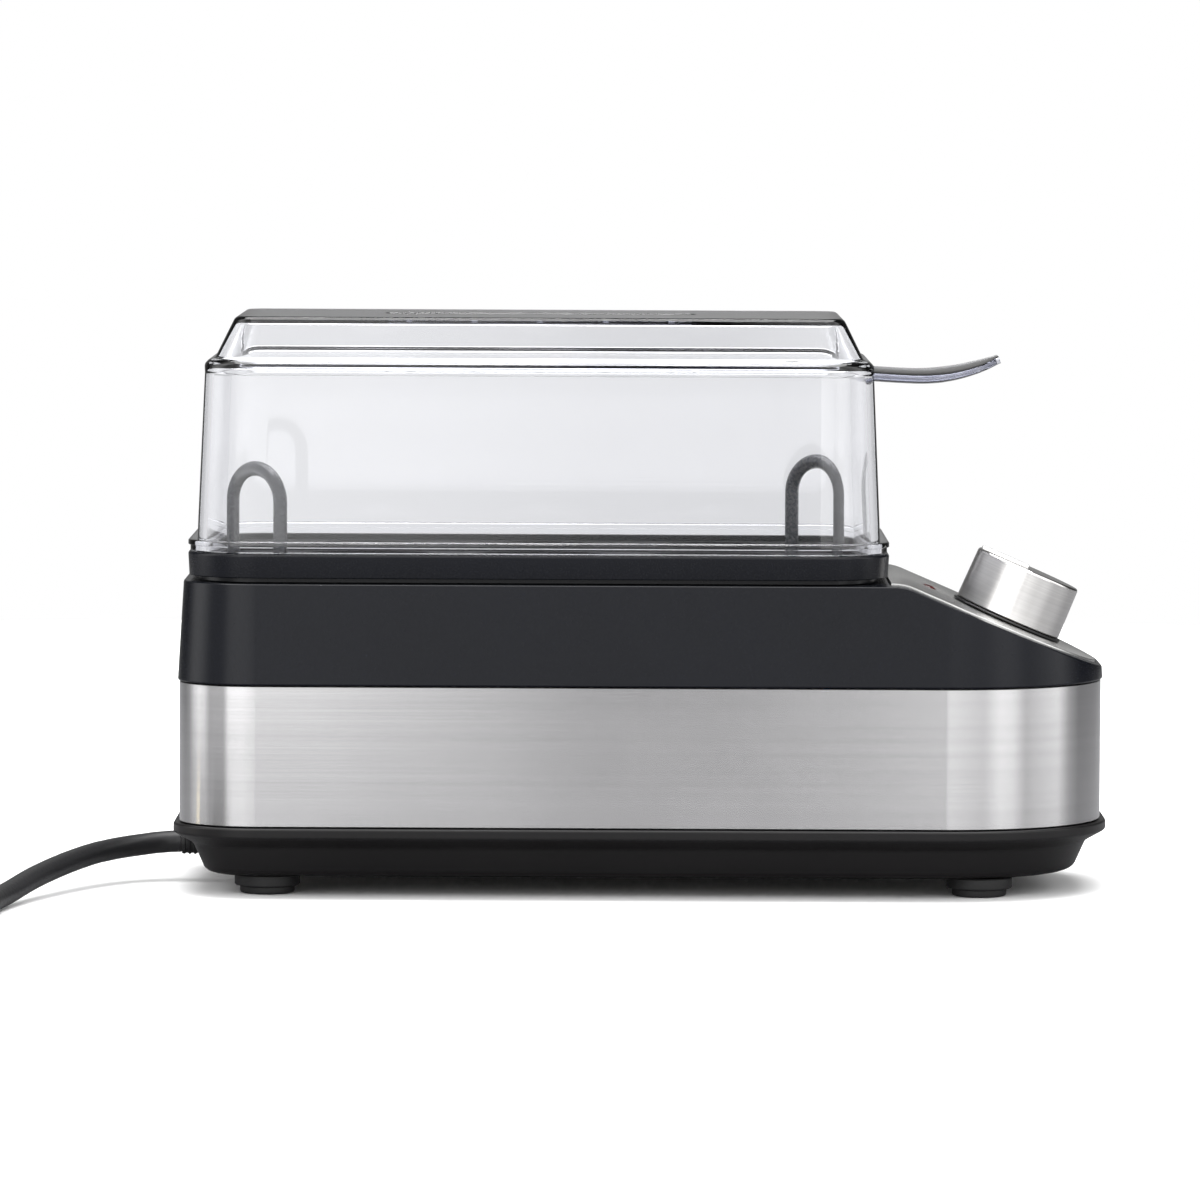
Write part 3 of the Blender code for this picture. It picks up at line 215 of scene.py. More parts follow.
def brushed(name, colour, roughness, scale, anisotropic=0.9, streak=0.10, **sockets):
    """Brushed metal: fine scratches, closest together along the axis of the largest scale."""
    paint = Paint(name, colour, roughness, Metallic=1.0, Anisotropic=anisotropic, **sockets)
    lines = paint.noise(paint.place(scale), 1.0, 5.0, 0.65)
    wide = paint.noise(paint.place(tuple(s * 0.12 for s in scale)), 1.0, 3.0, 0.5)
    cloud = paint.noise(paint.place(), 9.0, 3.0)
    darker = tuple(c * (1 - streak) for c in colour)
    lighter = tuple(min(1.0, c * (1 + streak)) for c in colour)
    mix = paint.node("ShaderNodeMath", operation="MULTIPLY_ADD")
    paint.link(lines, mix.inputs[0])
    mix.inputs[1].default_value = 0.6
    paint.link(paint.spread(wide, 0.0, 0.4, 0.25, 0.75), mix.inputs[2])
    paint.tint(mix.outputs[0], darker, lighter, 0.32, 0.72)
    paint.rough(cloud, roughness - 0.03, roughness + 0.04)
    paint.bump(lines, SCRATCH_DEPTH, 0.5)
    return paint


def radial_tangent(paint):
    """Highlights turn round the upright axis, as the brushing does."""
    tangent = paint.node("ShaderNodeTangent", direction_type="RADIAL", axis="Z")
    paint.link(tangent.outputs["Tangent"], paint.shader.inputs["Tangent"])
    return paint


def finish_node(name, material):
    """Give a CAD node a new material in every slot."""
    data = NODES[name].data
    if not data.materials:
        data.materials.append(material)
    for k in range(len(data.materials)):
        data.materials[k] = material


# ---- mesh helpers -------------------------------------------------------------------------


def new_piece(name, bm, material):
    bmesh.ops.recalc_face_normals(bm, faces=bm.faces)
    mesh = bpy.data.meshes.new(name)
    bm.to_mesh(mesh)
    bm.free()
    mesh.shade_smooth()
    mesh.set_sharp_from_angle(angle=radians(40))
    made = bpy.data.objects.new(name, mesh)
    bpy.context.scene.collection.objects.link(made)
    mesh.materials.append(material)
    return made


def rounded(back, front, width, rear_radius, front_radius, inset=0.0, steps=24):
    """A plan outline with rounded corners, taken in all round by inset."""
    x0, x1, y = back + inset, front - inset, width / 2 - inset
    rear, nose = (max(r - inset, 0.0003) for r in (rear_radius, front_radius))
    corners = [
        (x1 - nose, y - nose, nose, 0), (x0 + rear, y - rear, rear, 90),
        (x0 + rear, rear - y, rear, 180), (x1 - nose, nose - y, nose, 270),
    ]
    points = []
    for cx, cy, radius, start in corners:
        for k in range(steps + 1):
            angle = radians(start + 90 * k / steps)
            points.append((cx + radius * cos(angle), cy + radius * sin(angle)))
    return points


def body_outline(inset):
    return rounded(BACK_X, NOSE_X, BODY_WIDTH, REAR_CORNER, NOSE_CORNER, inset)


def tray_outline(inset):
    return rounded(TRAY_BACK, TRAY_FRONT, TRAY_WIDTH, TRAY_CORNER, TRAY_CORNER, inset)


def loft(rings, wrap=False):
    """A skin over rings of points: closed with two caps, or round from the last to the first."""
    bm = bmesh.new()
    rows = [[bm.verts.new(point) for point in ring] for ring in rings]
    for low, high in list(zip(rows, rows[1:])) + ([(rows[-1], rows[0])] if wrap else []):
        for i in range(len(low)):
            j = (i + 1) % len(low)
            bm.faces.new((low[i], low[j], high[j], high[i]))
    if not wrap:
        bm.faces.new(reversed(rows[0]))
        bm.faces.new(rows[-1])
    return bm


def soften(sections, radius=0.0003, steps=3):
    """Round each corner of a list of (height, inset) sections by about radius."""
    out = []
    for k, here in enumerate(sections):
        if k in (0, len(sections) - 1):
            out.append(here)
            continue
        before, after = sections[k - 1], sections[k + 1]
        a, b = (Vector(before) - Vector(here)), (Vector(after) - Vector(here))
        if a.length < 1e-7 or b.length < 1e-7:
            out.append(here)
            continue
        reach = min(radius, a.length * 0.45, b.length * 0.45)
        p, q = Vector(here) + a.normalized() * reach, Vector(here) + b.normalized() * reach
        for s in range(steps + 1):
            t = s / steps
            point = p * (1 - t) ** 2 + Vector(here) * 2 * t * (1 - t) + q * t**2
            out.append((point.x, point.y))
    return out


def stack(outline, sections, wrap=False):
    return loft([[(x, y, z) for x, y in outline(inset)] for z, inset in sections], wrap)


def smooth_route(points, spacing):
    """Points about spacing apart on a smooth curve through the given ones."""
    ends = [Vector(points[0]) * 2 - Vector(points[1]),
            Vector(points[-1]) * 2 - Vector(points[-2])]
    knots = [ends[0], *map(Vector, points), ends[1]]
    route = []
    for a, b, c, d in zip(knots, knots[1:], knots[2:], knots[3:]):
        steps = max(1, round((c - b).length / spacing))
        for k in range(steps):
            t = k / steps
            route.append(
                0.5 * (2 * b + (c - a) * t + (2 * a - 5 * b + 4 * c - d) * t**2
                       + (3 * b - a - 3 * c + d) * t**3)
            )
    return [*route, knots[-2]]


def turned(profile, steps=96):
    """A closed profile of (radius, height) points turned about Z; ends on the axis are closed."""
    bm = bmesh.new()
    rows = []
    for radius, height in profile:
        if radius < 1e-6:
            rows.append([bm.verts.new((0, 0, height))])
        else:
            rows.append([
                bm.verts.new((radius * cos(2 * pi * k / steps), radius * sin(2 * pi * k / steps),
                              height))
                for k in range(steps)
            ])
    for low, high in zip(rows, rows[1:]):
        for i in range(steps):
            j = (i + 1) % steps
            if len(low) == 1:
                bm.faces.new((low[0], high[j], high[i]))
            elif len(high) == 1:
                bm.faces.new((low[i], low[j], high[0]))
            else:
                bm.faces.new((low[i], low[j], high[j], high[i]))
    return bm


def move(bm, matrix):
    bmesh.ops.transform(bm, matrix=matrix, verts=bm.verts)
    return bm


# ---- materials ----------------------------------------------------------------------------

HOUSING_PLASTIC = moulded("housing_plastic", (0.0020, 0.0025, 0.0046), 0.22,
                          Specular_IOR_Level=0.20)
SURROUND_PLASTIC = moulded("surround_plastic", (0.0026, 0.0031, 0.0052), 0.23,
                           Specular_IOR_Level=0.22)
PAN_PLASTIC = moulded("pan_plastic", (0.0052, 0.0048, 0.0052), 0.34, Specular_IOR_Level=0.25)
RACK_PLASTIC = moulded("rack_plastic", (0.0040, 0.0042, 0.0050), 0.55, Specular_IOR_Level=0.08)
RUBBER = moulded("foot_rubber", (0.0110, 0.0110, 0.0115), 0.55, grain=1600.0,
                 Specular_IOR_Level=0.4)
RING_BLACK = moulded("ring_black", (0.006, 0.006, 0.006), 0.45)
CORD_PVC = moulded("cord_black", (0.0120, 0.0120, 0.0130), 0.38, grain=900.0, depth=0.00004,
                   Specular_IOR_Level=0.45)
PLUG_PVC = moulded("plug_black", (0.0080, 0.0080, 0.0085), 0.46, grain=1500.0, depth=0.00005)
GRIP_GREY = moulded("grip_grey", (0.070, 0.074, 0.082), 0.26, grain=1200.0,
                    Specular_IOR_Level=0.6)
HUB_PLASTIC = moulded("hub_plastic", (0.012, 0.012, 0.012), 0.5)
NYLON = moulded("control_nylon", (0.74, 0.73, 0.68), 0.45, mottle=0.04)
CERAMIC = moulded("thermostat_ceramic", (0.78, 0.76, 0.70), 0.5, grain=700.0, mottle=0.05)
SILICONE = moulded("seal_silicone", (0.50, 0.51, 0.52), 0.55, grain=800.0, mottle=0.05)
BUZZER_BLACK = moulded("buzzer_black", (0.010, 0.010, 0.010), 0.5)
LEAD_BROWN = moulded("lead_brown", (0.16, 0.07, 0.03), 0.42, mottle=0.06)
LEAD_BLUE = moulded("lead_blue", (0.05, 0.15, 0.50), 0.42, mottle=0.06)
LEAD_GREEN = moulded("lead_green", (0.25, 0.50, 0.06), 0.42, mottle=0.06)
LENS_RED = moulded("lens_red", (0.06, 0.006, 0.005), 0.16, depth=0.0, mottle=0.05)

STEEL = radial_tangent(brushed("brushed_band", (0.60, 0.595, 0.60), 0.17, (9.0, 9.0, 2600.0),
                               anisotropic=1.0, streak=0.05,
                               Anisotropic_Rotation=0.25)).material
PLATE_STEEL = brushed("brushed_plate", (0.62, 0.62, 0.61), 0.24, (16.0, 2400.0, 16.0),
                      anisotropic=0.6, streak=0.05).material
DISH_STEEL = brushed("dish_steel", (0.56, 0.55, 0.54), 0.26, (14.0, 1800.0, 14.0),
                     anisotropic=0.4, streak=0.06).material
SCREW_STEEL = brushed("screw_steel", (0.50, 0.50, 0.49), 0.30, (900.0, 900.0, 900.0),
                      anisotropic=0.0, streak=0.08).material
ELEMENT_STEEL = brushed("element_steel", (0.30, 0.27, 0.24), 0.38, (60.0, 900.0, 900.0),
                        anisotropic=0.2, streak=0.15).material
BRASS = brushed("brass_parts", (0.72, 0.56, 0.26), 0.28, (900.0, 900.0, 900.0),
                anisotropic=0.0, streak=0.06).material
PIN_BRASS = brushed("brass_pins", (0.74, 0.62, 0.34), 0.22, (1800.0, 60.0, 1800.0),
                    anisotropic=0.3, streak=0.05).material


def knob_metal():
    """Turned aluminium: rings round the knob's axis, in the knob's own frame."""
    paint = Paint("knob_aluminium", (0.66, 0.65, 0.64), 0.26, Metallic=1.0, Anisotropic=0.85,
                  Anisotropic_Rotation=0.25)
    coordinates = paint.node("ShaderNodeTexCoord")
    turn = paint.node("ShaderNodeMapping", vector_type="TEXTURE")
    turn.inputs["Location"].default_value = KNOB_AT
    turn.inputs["Rotation"].default_value = (0.0, SLOPE, 0.0)
    paint.link(coordinates.outputs["Object"], turn.inputs["Vector"])
    parts = paint.node("ShaderNodeSeparateXYZ")
    paint.link(turn.outputs["Vector"], parts.inputs["Vector"])
    flat = paint.node("ShaderNodeCombineXYZ")
    paint.link(parts.outputs["X"], flat.inputs["X"])
    paint.link(parts.outputs["Y"], flat.inputs["Y"])
    length = paint.node("ShaderNodeVectorMath", operation="LENGTH")
    paint.link(flat.outputs["Vector"], length.inputs[0])
    rings = paint.node("ShaderNodeCombineXYZ")
    paint.link(length.outputs["Value"], rings.inputs["X"])
    paint.link(parts.outputs["Z"], rings.inputs["Y"])
    stretch = paint.node("ShaderNodeMapping")
    stretch.inputs["Scale"].default_value = (2400.0, 2400.0, 1.0)
    paint.link(rings.outputs["Vector"], stretch.inputs["Vector"])
    lines = paint.noise(stretch.outputs["Vector"], 1.0, 4.0, 0.6)
    paint.tint(lines, (0.61, 0.60, 0.59), (0.70, 0.69, 0.68), 0.3, 0.7)
    # brushed sides, smoother cut top
    paint.rough(parts.outputs["Z"], 0.33, 0.12, 0.0158, 0.0164)
    paint.bump(lines, 0.00001, 0.5)
    return paint


KNOB_METAL = radial_tangent(knob_metal()).material


def clear_plastic():
    """Clear polycarbonate: smooth, a touch cool, with faint moulding waves."""
    paint = Paint("clear_lid", (0.990, 0.992, 0.998), 0.02, IOR=1.49)
    paint.shader.inputs["Transmission Weight"].default_value = 1.0
    tint = paint.node("ShaderNodeVolumeAbsorption", Density=70.0)
    tint.inputs["Color"].default_value = (0.62, 0.63, 0.70, 1.0)
    paint.link(tint.outputs["Volume"], paint.tree.nodes["Material Output"].inputs["Volume"])
    paint.bump(paint.noise(paint.place(), 22.0, 1.0, 0.3), 0.00003, 0.2)
    return paint.material


CLEAR = clear_plastic()


def board_green():
    """Green circuit board with a faint pattern of tracks."""
    paint = Paint("board_green", (0.015, 0.10, 0.045), 0.4)
    where = paint.place()
    tracks = paint.node("ShaderNodeTexVoronoi", feature="F1", distance="MANHATTAN", Scale=260.0)
    paint.link(where, tracks.inputs["Vector"])
    paint.tint(tracks.outputs["Distance"], (0.012, 0.085, 0.038), (0.03, 0.16, 0.06), 0.42, 0.5)
    paint.bump(tracks.outputs["Distance"], 0.00003, 0.4)
    return paint.material


FINISHES = {
    "thermal_fuse": BRASS, "bush_nut": BRASS, "control_shaft": BRASS, "knob_hub": HUB_PLASTIC,
    "rotary_control": NYLON, "terminal_block": NYLON, "cord_clamp": NYLON,
    "thermostat": CERAMIC, "dish_seal": SILICONE, "heating_element": ELEMENT_STEEL,
    "control_board": board_green(), "buzzer": BUZZER_BLACK, "supply_lead_live": LEAD_BROWN,
    "supply_lead_neutral": LEAD_BLUE, "supply_lead_earth": LEAD_GREEN,
    "element_lead_live": LEAD_BROWN, "element_lead_neutral": LEAD_BLUE,
}
for node in NODES:
    if node.startswith("base_screw"):
        FINISHES[node] = SCREW_STEEL
    elif node.startswith("plug_pin"):
        FINISHES[node] = PIN_BRASS
for node, material in FINISHES.items():
    finish_node(node, material)


# ---- mains lead ---------------------------------------------------------------------------


def coil_points():
    """The turns of the coil: clockwise from above, from its right side to its left side."""
    diameter = 2 * CORD_RADIUS
    steps = 30
    total = int(COIL_TURNS * steps)
    points = []
    for k in range(total + 1):
        turn = k / steps
        # (turns, radius, lift in diameters): two side by side on the floor, then over them
        plan = (
            (0.0, COIL_RADIUS + 0.45 * diameter, 0.0),
            (1.0, COIL_RADIUS - 0.55 * diameter, 0.0),
            (1.9, COIL_RADIUS - 0.55 * diameter, 0.0), (2.2, COIL_RADIUS, 0.9),
            (3.1, COIL_RADIUS, 0.9), (3.5, COIL_RADIUS + 1.45 * diameter, 0.0),
        )
        for (t0, r0, h0), (t1, r1, h1) in zip(plan, plan[1:]):
            if turn <= t1 + 1e-9:
                share = (turn - t0) / (t1 - t0)
                share = share * share * (3 - 2 * share)
                radius, lift = r0 + (r1 - r0) * share, h0 + (h1 - h0) * share
                break
        angle = -2 * pi * turn
        points.append(COIL_CENTRE + Vector((
            radius * cos(angle), radius * sin(angle), CORD_FLOOR_Z + lift * diameter * 0.95)))
    return points


def mains_lead():
    """The lead as one curve: the route to the coil, the coil's turns, the tail to the plug."""
    way = smooth_route([*CORD_ROUTE, *coil_points(), *TAIL_ROUTE], 0.006)
    curve = bpy.data.curves.new("mains_lead", "CURVE")
    curve.dimensions = "3D"
    curve.bevel_depth = CORD_RADIUS
    curve.bevel_resolution = 6
    curve.use_fill_caps = True
    spline = curve.splines.new("POLY")
    spline.points.add(len(way) - 1)
    for place, point in zip(spline.points, way):
        place.co = (*point, 1.0)
    spline.use_smooth = True
    curve.materials.append(CORD_PVC)
    made = bpy.data.objects.new("mains_lead", curve)
    bpy.context.scene.collection.objects.link(made)
    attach(made, "base")
    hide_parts("cord", "cord_coil", "cord_tail")
    return made


LEAD = mains_lead()

# ---- fine pieces over the CAD's faceted ones ----------------------------------------------

AXIS_FRAME = Matrix.Translation(KNOB_AT) @ Matrix.Rotation(SLOPE, 4, "Y")
BAND_TOP, BAND_FOOT = BAND[1].z, BAND[0].z
HOUSING_FOOT = BAND_TOP + GAP
TRAY_TOP = TRAY[1].z
RECESS_FLOOR = TRAY_TOP - 0.0065
RIM = 0.0051  # width of the surround's top
LIP_INSET = 0.0104
LIP_THICKNESS = 0.0020
BAND_THICKNESS = 0.0008
PAN_OVERHANG = 0.0017
SCREW_HOLE, FOOT_HOLE, CORD_HOLE = 0.0033, 0.0043, 0.0046
PAN_SLOTS, SLOT_PITCH, SLOT_WIDTH, SLOT_LENGTH = 6, 0.008, 0.002, 0.028
FOOT_RADIUS, FOOT_STEP_RADIUS = 0.00925, 0.00775
HOUSING_OVERHANG, HOUSING_DRAFT = 0.0005, radians(3.4)
HOUSING_WALL, DECK_THICKNESS = 0.0024, 0.0026
PLATE_THICKNESS, PLATE_PROUD, PLATE_FLOOR_GAP = 0.0009, 0.0004, 0.0004
PLATE_SIDE_RIM, PLATE_NOSE_RIM = 0.0110, 0.0012
BUSH_HOLE = 0.0048
LENS_X, LENS_HOLE = -0.0240, 0.0024  # the lens's place up the slope from the knob
KNOB_SEAT = 0.0007  # the knob ring's foot above the slope
RING_RADIUS, RING_BORE, RING_THICKNESS = 0.0165, 0.0095, 0.0006
KNOB_RADIUS, KNOB_TOP_RADIUS, KNOB_HEIGHT, KNOB_WALL = 0.01575, 0.0155, 0.0152, 0.0012
GRIPS = ["rack_grip_rear", "rack_grip_front"]
GRIP_RADIUS, GRIP_HALF, GRIP_ARCH = 0.0021, 0.0102, 0.0095
GRIP_STEP = GRIP_HALF / sqrt(2)
EGG_WEB, STEAM_HOLE = 0.0070, 0.0040
LID_WALL = 0.0023
LID_INSET, LID_DRAFT, LID_LEDGE, LID_SLOPE = 0.0026, 0.0019, 0.0031, 0.0056
LID_SHOULDER_HEIGHT, LID_FLANGE_HEIGHT = 0.0541, 0.0030
VENT_PITCH, VENT_RADIUS, VENT_GROOVE = 0.0187, 0.0014, 0.0007
TONGUE_HALF_WIDTH, TONGUE_HALF_THICKNESS, TONGUE_RISE = 0.0230, 0.0017, 0.0042
TONGUE_FLAT, TONGUE_TIP = 0.35, 0.018  # share of it before the rise; length of the round tip
FEET = {name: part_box(name) for name in NODES if name.startswith("foot_")}
SCREWS = {name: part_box(name) for name in NODES if name.startswith("base_screw")}


def middle(box):
    return (box[0].x + box[1].x) / 2, (box[0].y + box[1].y) / 2


def plain(bm):
    """An undeclared object, for building another."""
    bmesh.ops.remove_doubles(bm, verts=bm.verts, dist=1e-7)
    bmesh.ops.recalc_face_normals(bm, faces=bm.faces)
    mesh = bpy.data.meshes.new("tool")
    bm.to_mesh(mesh)
    bm.free()
    made = bpy.data.objects.new("tool", mesh)
    bpy.context.scene.collection.objects.link(made)
    return made


def evaluated(made):
    """Replace the object's mesh with what its modifiers make."""
    graph = bpy.context.evaluated_depsgraph_get()
    mesh = bpy.data.meshes.new_from_object(made.evaluated_get(graph))
    made.modifiers.clear()
    made.data = mesh
    return made


def upright_to_x(x, z):
    """Lays what stands on the origin along +X, starting at (x, 0, z)."""
    return Matrix.Translation((x, 0, z)) @ Matrix.Rotation(pi / 2, 4, "Y")


def combine(target, tool, operation="DIFFERENCE"):
    """A boolean of two objects; the tool is used up."""
    modifier = target.modifiers.new("cut", "BOOLEAN")
    modifier.object, modifier.operation, modifier.solver = tool, operation, "EXACT"
    evaluated(target)
    bpy.data.objects.remove(tool, do_unlink=True)
    return target


def rods(places, frame_of=None, steps=48):
    """Upright rods (x, y, low, high, radius) as one object, moved by the matrix given."""
    whole = bmesh.new()
    for x, y, low, high, radius in places:
        bmesh.ops.create_cone(
            whole, cap_ends=True, segments=steps, radius1=radius, radius2=radius,
            depth=high - low, matrix=Matrix.Translation((x, y, (low + high) / 2)))
    if frame_of:
        move(whole, frame_of)
    return plain(whole)


def settle(made, name, material, body, slot, *replaced, bevel=0.0, segments=2, sharp=32):
    """Round the edges of a built object, give it its material and put it on its body."""
    made.name = made.data.name = name
    if bevel:
        modifier = made.modifiers.new("edges", "BEVEL")
        modifier.width, modifier.segments = bevel, segments
        modifier.limit_method, modifier.angle_limit = "ANGLE", radians(sharp)
        evaluated(made)
    made.data.name = name
    made.data.shade_smooth()
    made.data.set_sharp_from_angle(angle=radians(sharp))
    modifier = made.modifiers.new("normals", "WEIGHTED_NORMAL")
    modifier.keep_sharp = True
    evaluated(made)
    made.data.name = name
    made.data.materials.clear()
    made.data.materials.append(material)
    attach(made, body)
    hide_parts(*replaced)
    return made


def deck_line(offset, back, front):
    """The housing's top seen from the side: flat deck, fillet, slope; moved out by offset."""
    arc_x, arc_z = SLOPE_CORNER_X - SLOPE_FILLET * tan(SLOPE / 2), DECK_Z - SLOPE_FILLET
    points = [(back, DECK_Z + offset)]
    for k in range(25):
        angle = SLOPE * k / 24
        points.append((arc_x + (SLOPE_FILLET + offset) * sin(angle),
                       arc_z + (SLOPE_FILLET + offset) * cos(angle)))
    last_x, last_z = points[-1]
    points.append((front, last_z - (front - last_x) * tan(SLOPE)))
    return points


def prism(side, half_width):
    """A side outline carried across Y."""
    return loft([[(x, y, z) for x, z in side] for y in (-half_width, half_width)])


def under_deck(offset, bottom):
    """Everything below the deck line, down to the height given."""
    line = deck_line(offset, BACK_X - 0.02, NOSE_X + 0.02)
    return plain(prism([*line, (line[-1][0], bottom), (line[0][0], bottom)], BODY_WIDTH))


def drafted(extra, low, high):
    """The housing's block with its drafted sides, inset by extra."""
    sections = [(z, extra - HOUSING_OVERHANG + (z - HOUSING_FOOT) * tan(HOUSING_DRAFT))
                for z in (low, high)]
    return plain(stack(body_outline, sections))


def plate_space(back, lower, upper, edge):
    """A sheet along the deck line, between two offsets from it, in the plate's outline."""
    slab = plain(prism(deck_line(upper, back, NOSE_X + 0.02)
                       + deck_line(lower, back, NOSE_X + 0.02)[::-1], BODY_WIDTH))
    width = BODY_WIDTH - 2 * PLATE_SIDE_RIM

    def outline(inset):
        return rounded(back - 0.01, NOSE_X - PLATE_NOSE_RIM, width, 0.001, width / 2 - GAP,
                       inset, 48)

    return combine(slab, plain(stack(outline, [(HOUSING_FOOT, edge), (DECK_Z + 0.02, edge)])),
                   "INTERSECT")


def steel_band():
    sections = [
        (BAND_FOOT, 0.0002), (BAND_FOOT + 0.0002, 0.0), (BAND_TOP - 0.0002, 0.0),
        (BAND_TOP, 0.0002), (BAND_TOP, BAND_THICKNESS), (BAND_FOOT, BAND_THICKNESS),
    ]
    settle(plain(stack(body_outline, sections, wrap=True)), "band_skin", STEEL, "base",
           "brushed_band", "steel_band")


def pan():
    rim, over = BAND_FOOT - GAP, PAN_OVERHANG
    outside = soften([
        (0.0056, 0.0100), (0.0061, 0.0083), (0.0070, 0.0071), (0.0141, 0.0039),
        (0.0170, 0.0004 - over), (0.0174, -over), (rim - 0.0004, -over), (rim, 0.0004 - over),
        (rim, 0.0011),
    ], 0.0008, 4)
    inside = [(rim, 0.0027), (0.0170, 0.0041), (0.0141, 0.0061), (0.0086, 0.0093),
              (0.0078, 0.0117)]
    made = plain(stack(body_outline, [*outside, *inside]))
    holes = [(*middle(box), -0.001, 0.0300, SCREW_HOLE) for box in SCREWS.values()]
    holes += [(*middle(box), -0.001, 0.0100, FOOT_HOLE) for box in FEET.values()]
    combine(made, rods(holes))
    bore = rods([(0, 0, -0.02, 0.02, CORD_HOLE)])
    bore.data.transform(upright_to_x(BACK_X + 0.006, CORD_ROUTE[0][2]))
    combine(made, bore)
    for k in range(PAN_SLOTS):
        x = TRAY_X - 0.02 + SLOT_PITCH * k
        slot = bmesh.new()
        bmesh.ops.create_cube(slot, size=1.0, matrix=Matrix.Translation((x, 0, 0.006))
                              @ Matrix.Diagonal((SLOT_WIDTH, SLOT_LENGTH, 0.008, 1)))
        combine(made, plain(slot))
    settle(made, "pan_skin", PAN_PLASTIC, "base", "pan_plastic", "base_pan")


def feet():
    for name, box in FEET.items():
        profile = [
            (0, 0.0078), (0.0040, 0.0078), (0.0040, 0.0053), (FOOT_RADIUS - 0.0003, 0.0053),
            (FOOT_RADIUS, 0.0050), (FOOT_RADIUS, 0.0026), (0.0090, 0.0022), (0.0087, 0.0021),
            (0.0080, 0.0021), (FOOT_STEP_RADIUS, 0.0018), (FOOT_STEP_RADIUS, 0.0005),
            (0.0075, 0.0001),
            (0.0072, 0), (0.0060, 0), (0.0056, 0.0004), (0, 0.0004),
        ]
        made = plain(move(turned(profile, 72), Matrix.Translation((*middle(box), 0))))
        settle(made, name + "_turned", RUBBER, "base", "foot_rubber", name)


def housing():
    shell = combine(drafted(0.0, HOUSING_FOOT, DECK_Z + 0.004), under_deck(0.0, 0.03),
                    "INTERSECT")
    combine(shell, combine(drafted(HOUSING_WALL, HOUSING_FOOT - 0.005, DECK_Z + 0.004),
                           under_deck(-DECK_THICKNESS, 0.03), "INTERSECT"))
    opening = LIP_INSET - LIP_THICKNESS - GAP
    combine(shell, plain(stack(tray_outline, [(DECK_Z - 0.01, opening),
                                              (DECK_Z + 0.01, opening)])))
    recess_floor = PLATE_PROUD - PLATE_THICKNESS - PLATE_FLOOR_GAP
    combine(shell, plate_space(TRAY_FRONT, recess_floor, 0.004, -GAP))
    combine(shell, rods([(0, 0, -0.01, 0.01, BUSH_HOLE)], AXIS_FRAME))
    settle(shell, "housing_skin", HOUSING_PLASTIC, "base", "housing_plastic", "upper_housing",
           bevel=0.0006, segments=3, sharp=28)


def plate():
    made = plate_space(TRAY_FRONT + GAP, PLATE_PROUD - PLATE_THICKNESS, PLATE_PROUD, 0.0)
    combine(made, rods([(0, 0, -0.01, 0.01, BUSH_HOLE), (LENS_X, 0, -0.01, 0.01, LENS_HOLE)],
                       AXIS_FRAME))
    settle(made, "plate_skin", PLATE_STEEL, "base", "brushed_plate", "control_plate",
           bevel=0.00015, segments=2, sharp=40)


def lens():
    profile = [(0, 0.00095), (0.0008, 0.0009), (0.0014, 0.00075), (0.0019, 0.0005),
               (0.0021, 0.0003), (0.0021, -0.0036), (0, -0.0036)]
    made = plain(move(turned(profile, 48), AXIS_FRAME @ Matrix.Translation((LENS_X, 0, 0))))
    settle(made, "lens_dome", LENS_RED, "base", "lens_red", "indicator_lens")


def surround():
    foot, skirt = DECK_Z + GAP, DECK_Z + 0.0015
    sections = [
        (foot, 0.0030), (skirt, 0.0030), (skirt, 0.0005), (skirt + 0.0002, 0.0003),
        (TRAY_TOP - 0.0008, 0.0), (TRAY_TOP - 0.0005, 0.00008), (TRAY_TOP - 0.0002, 0.00028),
        (TRAY_TOP - 0.00005, 0.0005), (TRAY_TOP, 0.0008), (TRAY_TOP, RIM - 0.0004),
        (TRAY_TOP - 0.0002, RIM - 0.0001), (TRAY_TOP - 0.0006, RIM),
        (RECESS_FLOOR, RIM + 0.0002), (RECESS_FLOOR, LIP_INSET),
        (foot - TRAY_LIP_DEPTH, LIP_INSET), (foot - TRAY_LIP_DEPTH, LIP_INSET - LIP_THICKNESS),
        (foot, LIP_INSET - LIP_THICKNESS),
    ]
    settle(plain(stack(tray_outline, sections, wrap=True)), "surround_skin", SURROUND_PLASTIC,
           "base", "surround_plastic", "tray_surround", sharp=30)


def dish():
    low, flange, wall, t = DISH[0].z, DISH[1].z - 0.0010, LIP_INSET + 2 * GAP, 0.0010
    edge = RIM + 0.0007
    outer = soften([(low, wall + 0.0060), (low, wall + 0.0040), (low + 0.0020, wall + 0.0012),
                    (flange, wall), (flange, edge)], 0.0016, 5)
    inner = soften([(flange + t, edge), (flange + t, wall + t),
                    (low + 0.0026, wall + 0.0012 + t), (low + t, wall + 0.0042 + t),
                    (low + t, wall + 0.0066 + t)], 0.0016, 5)
    made = plain(stack(tray_outline, [*outer, *inner]))
    settle(made, "dish_skin", DISH_STEEL, "base", "dish_steel", "heating_dish")


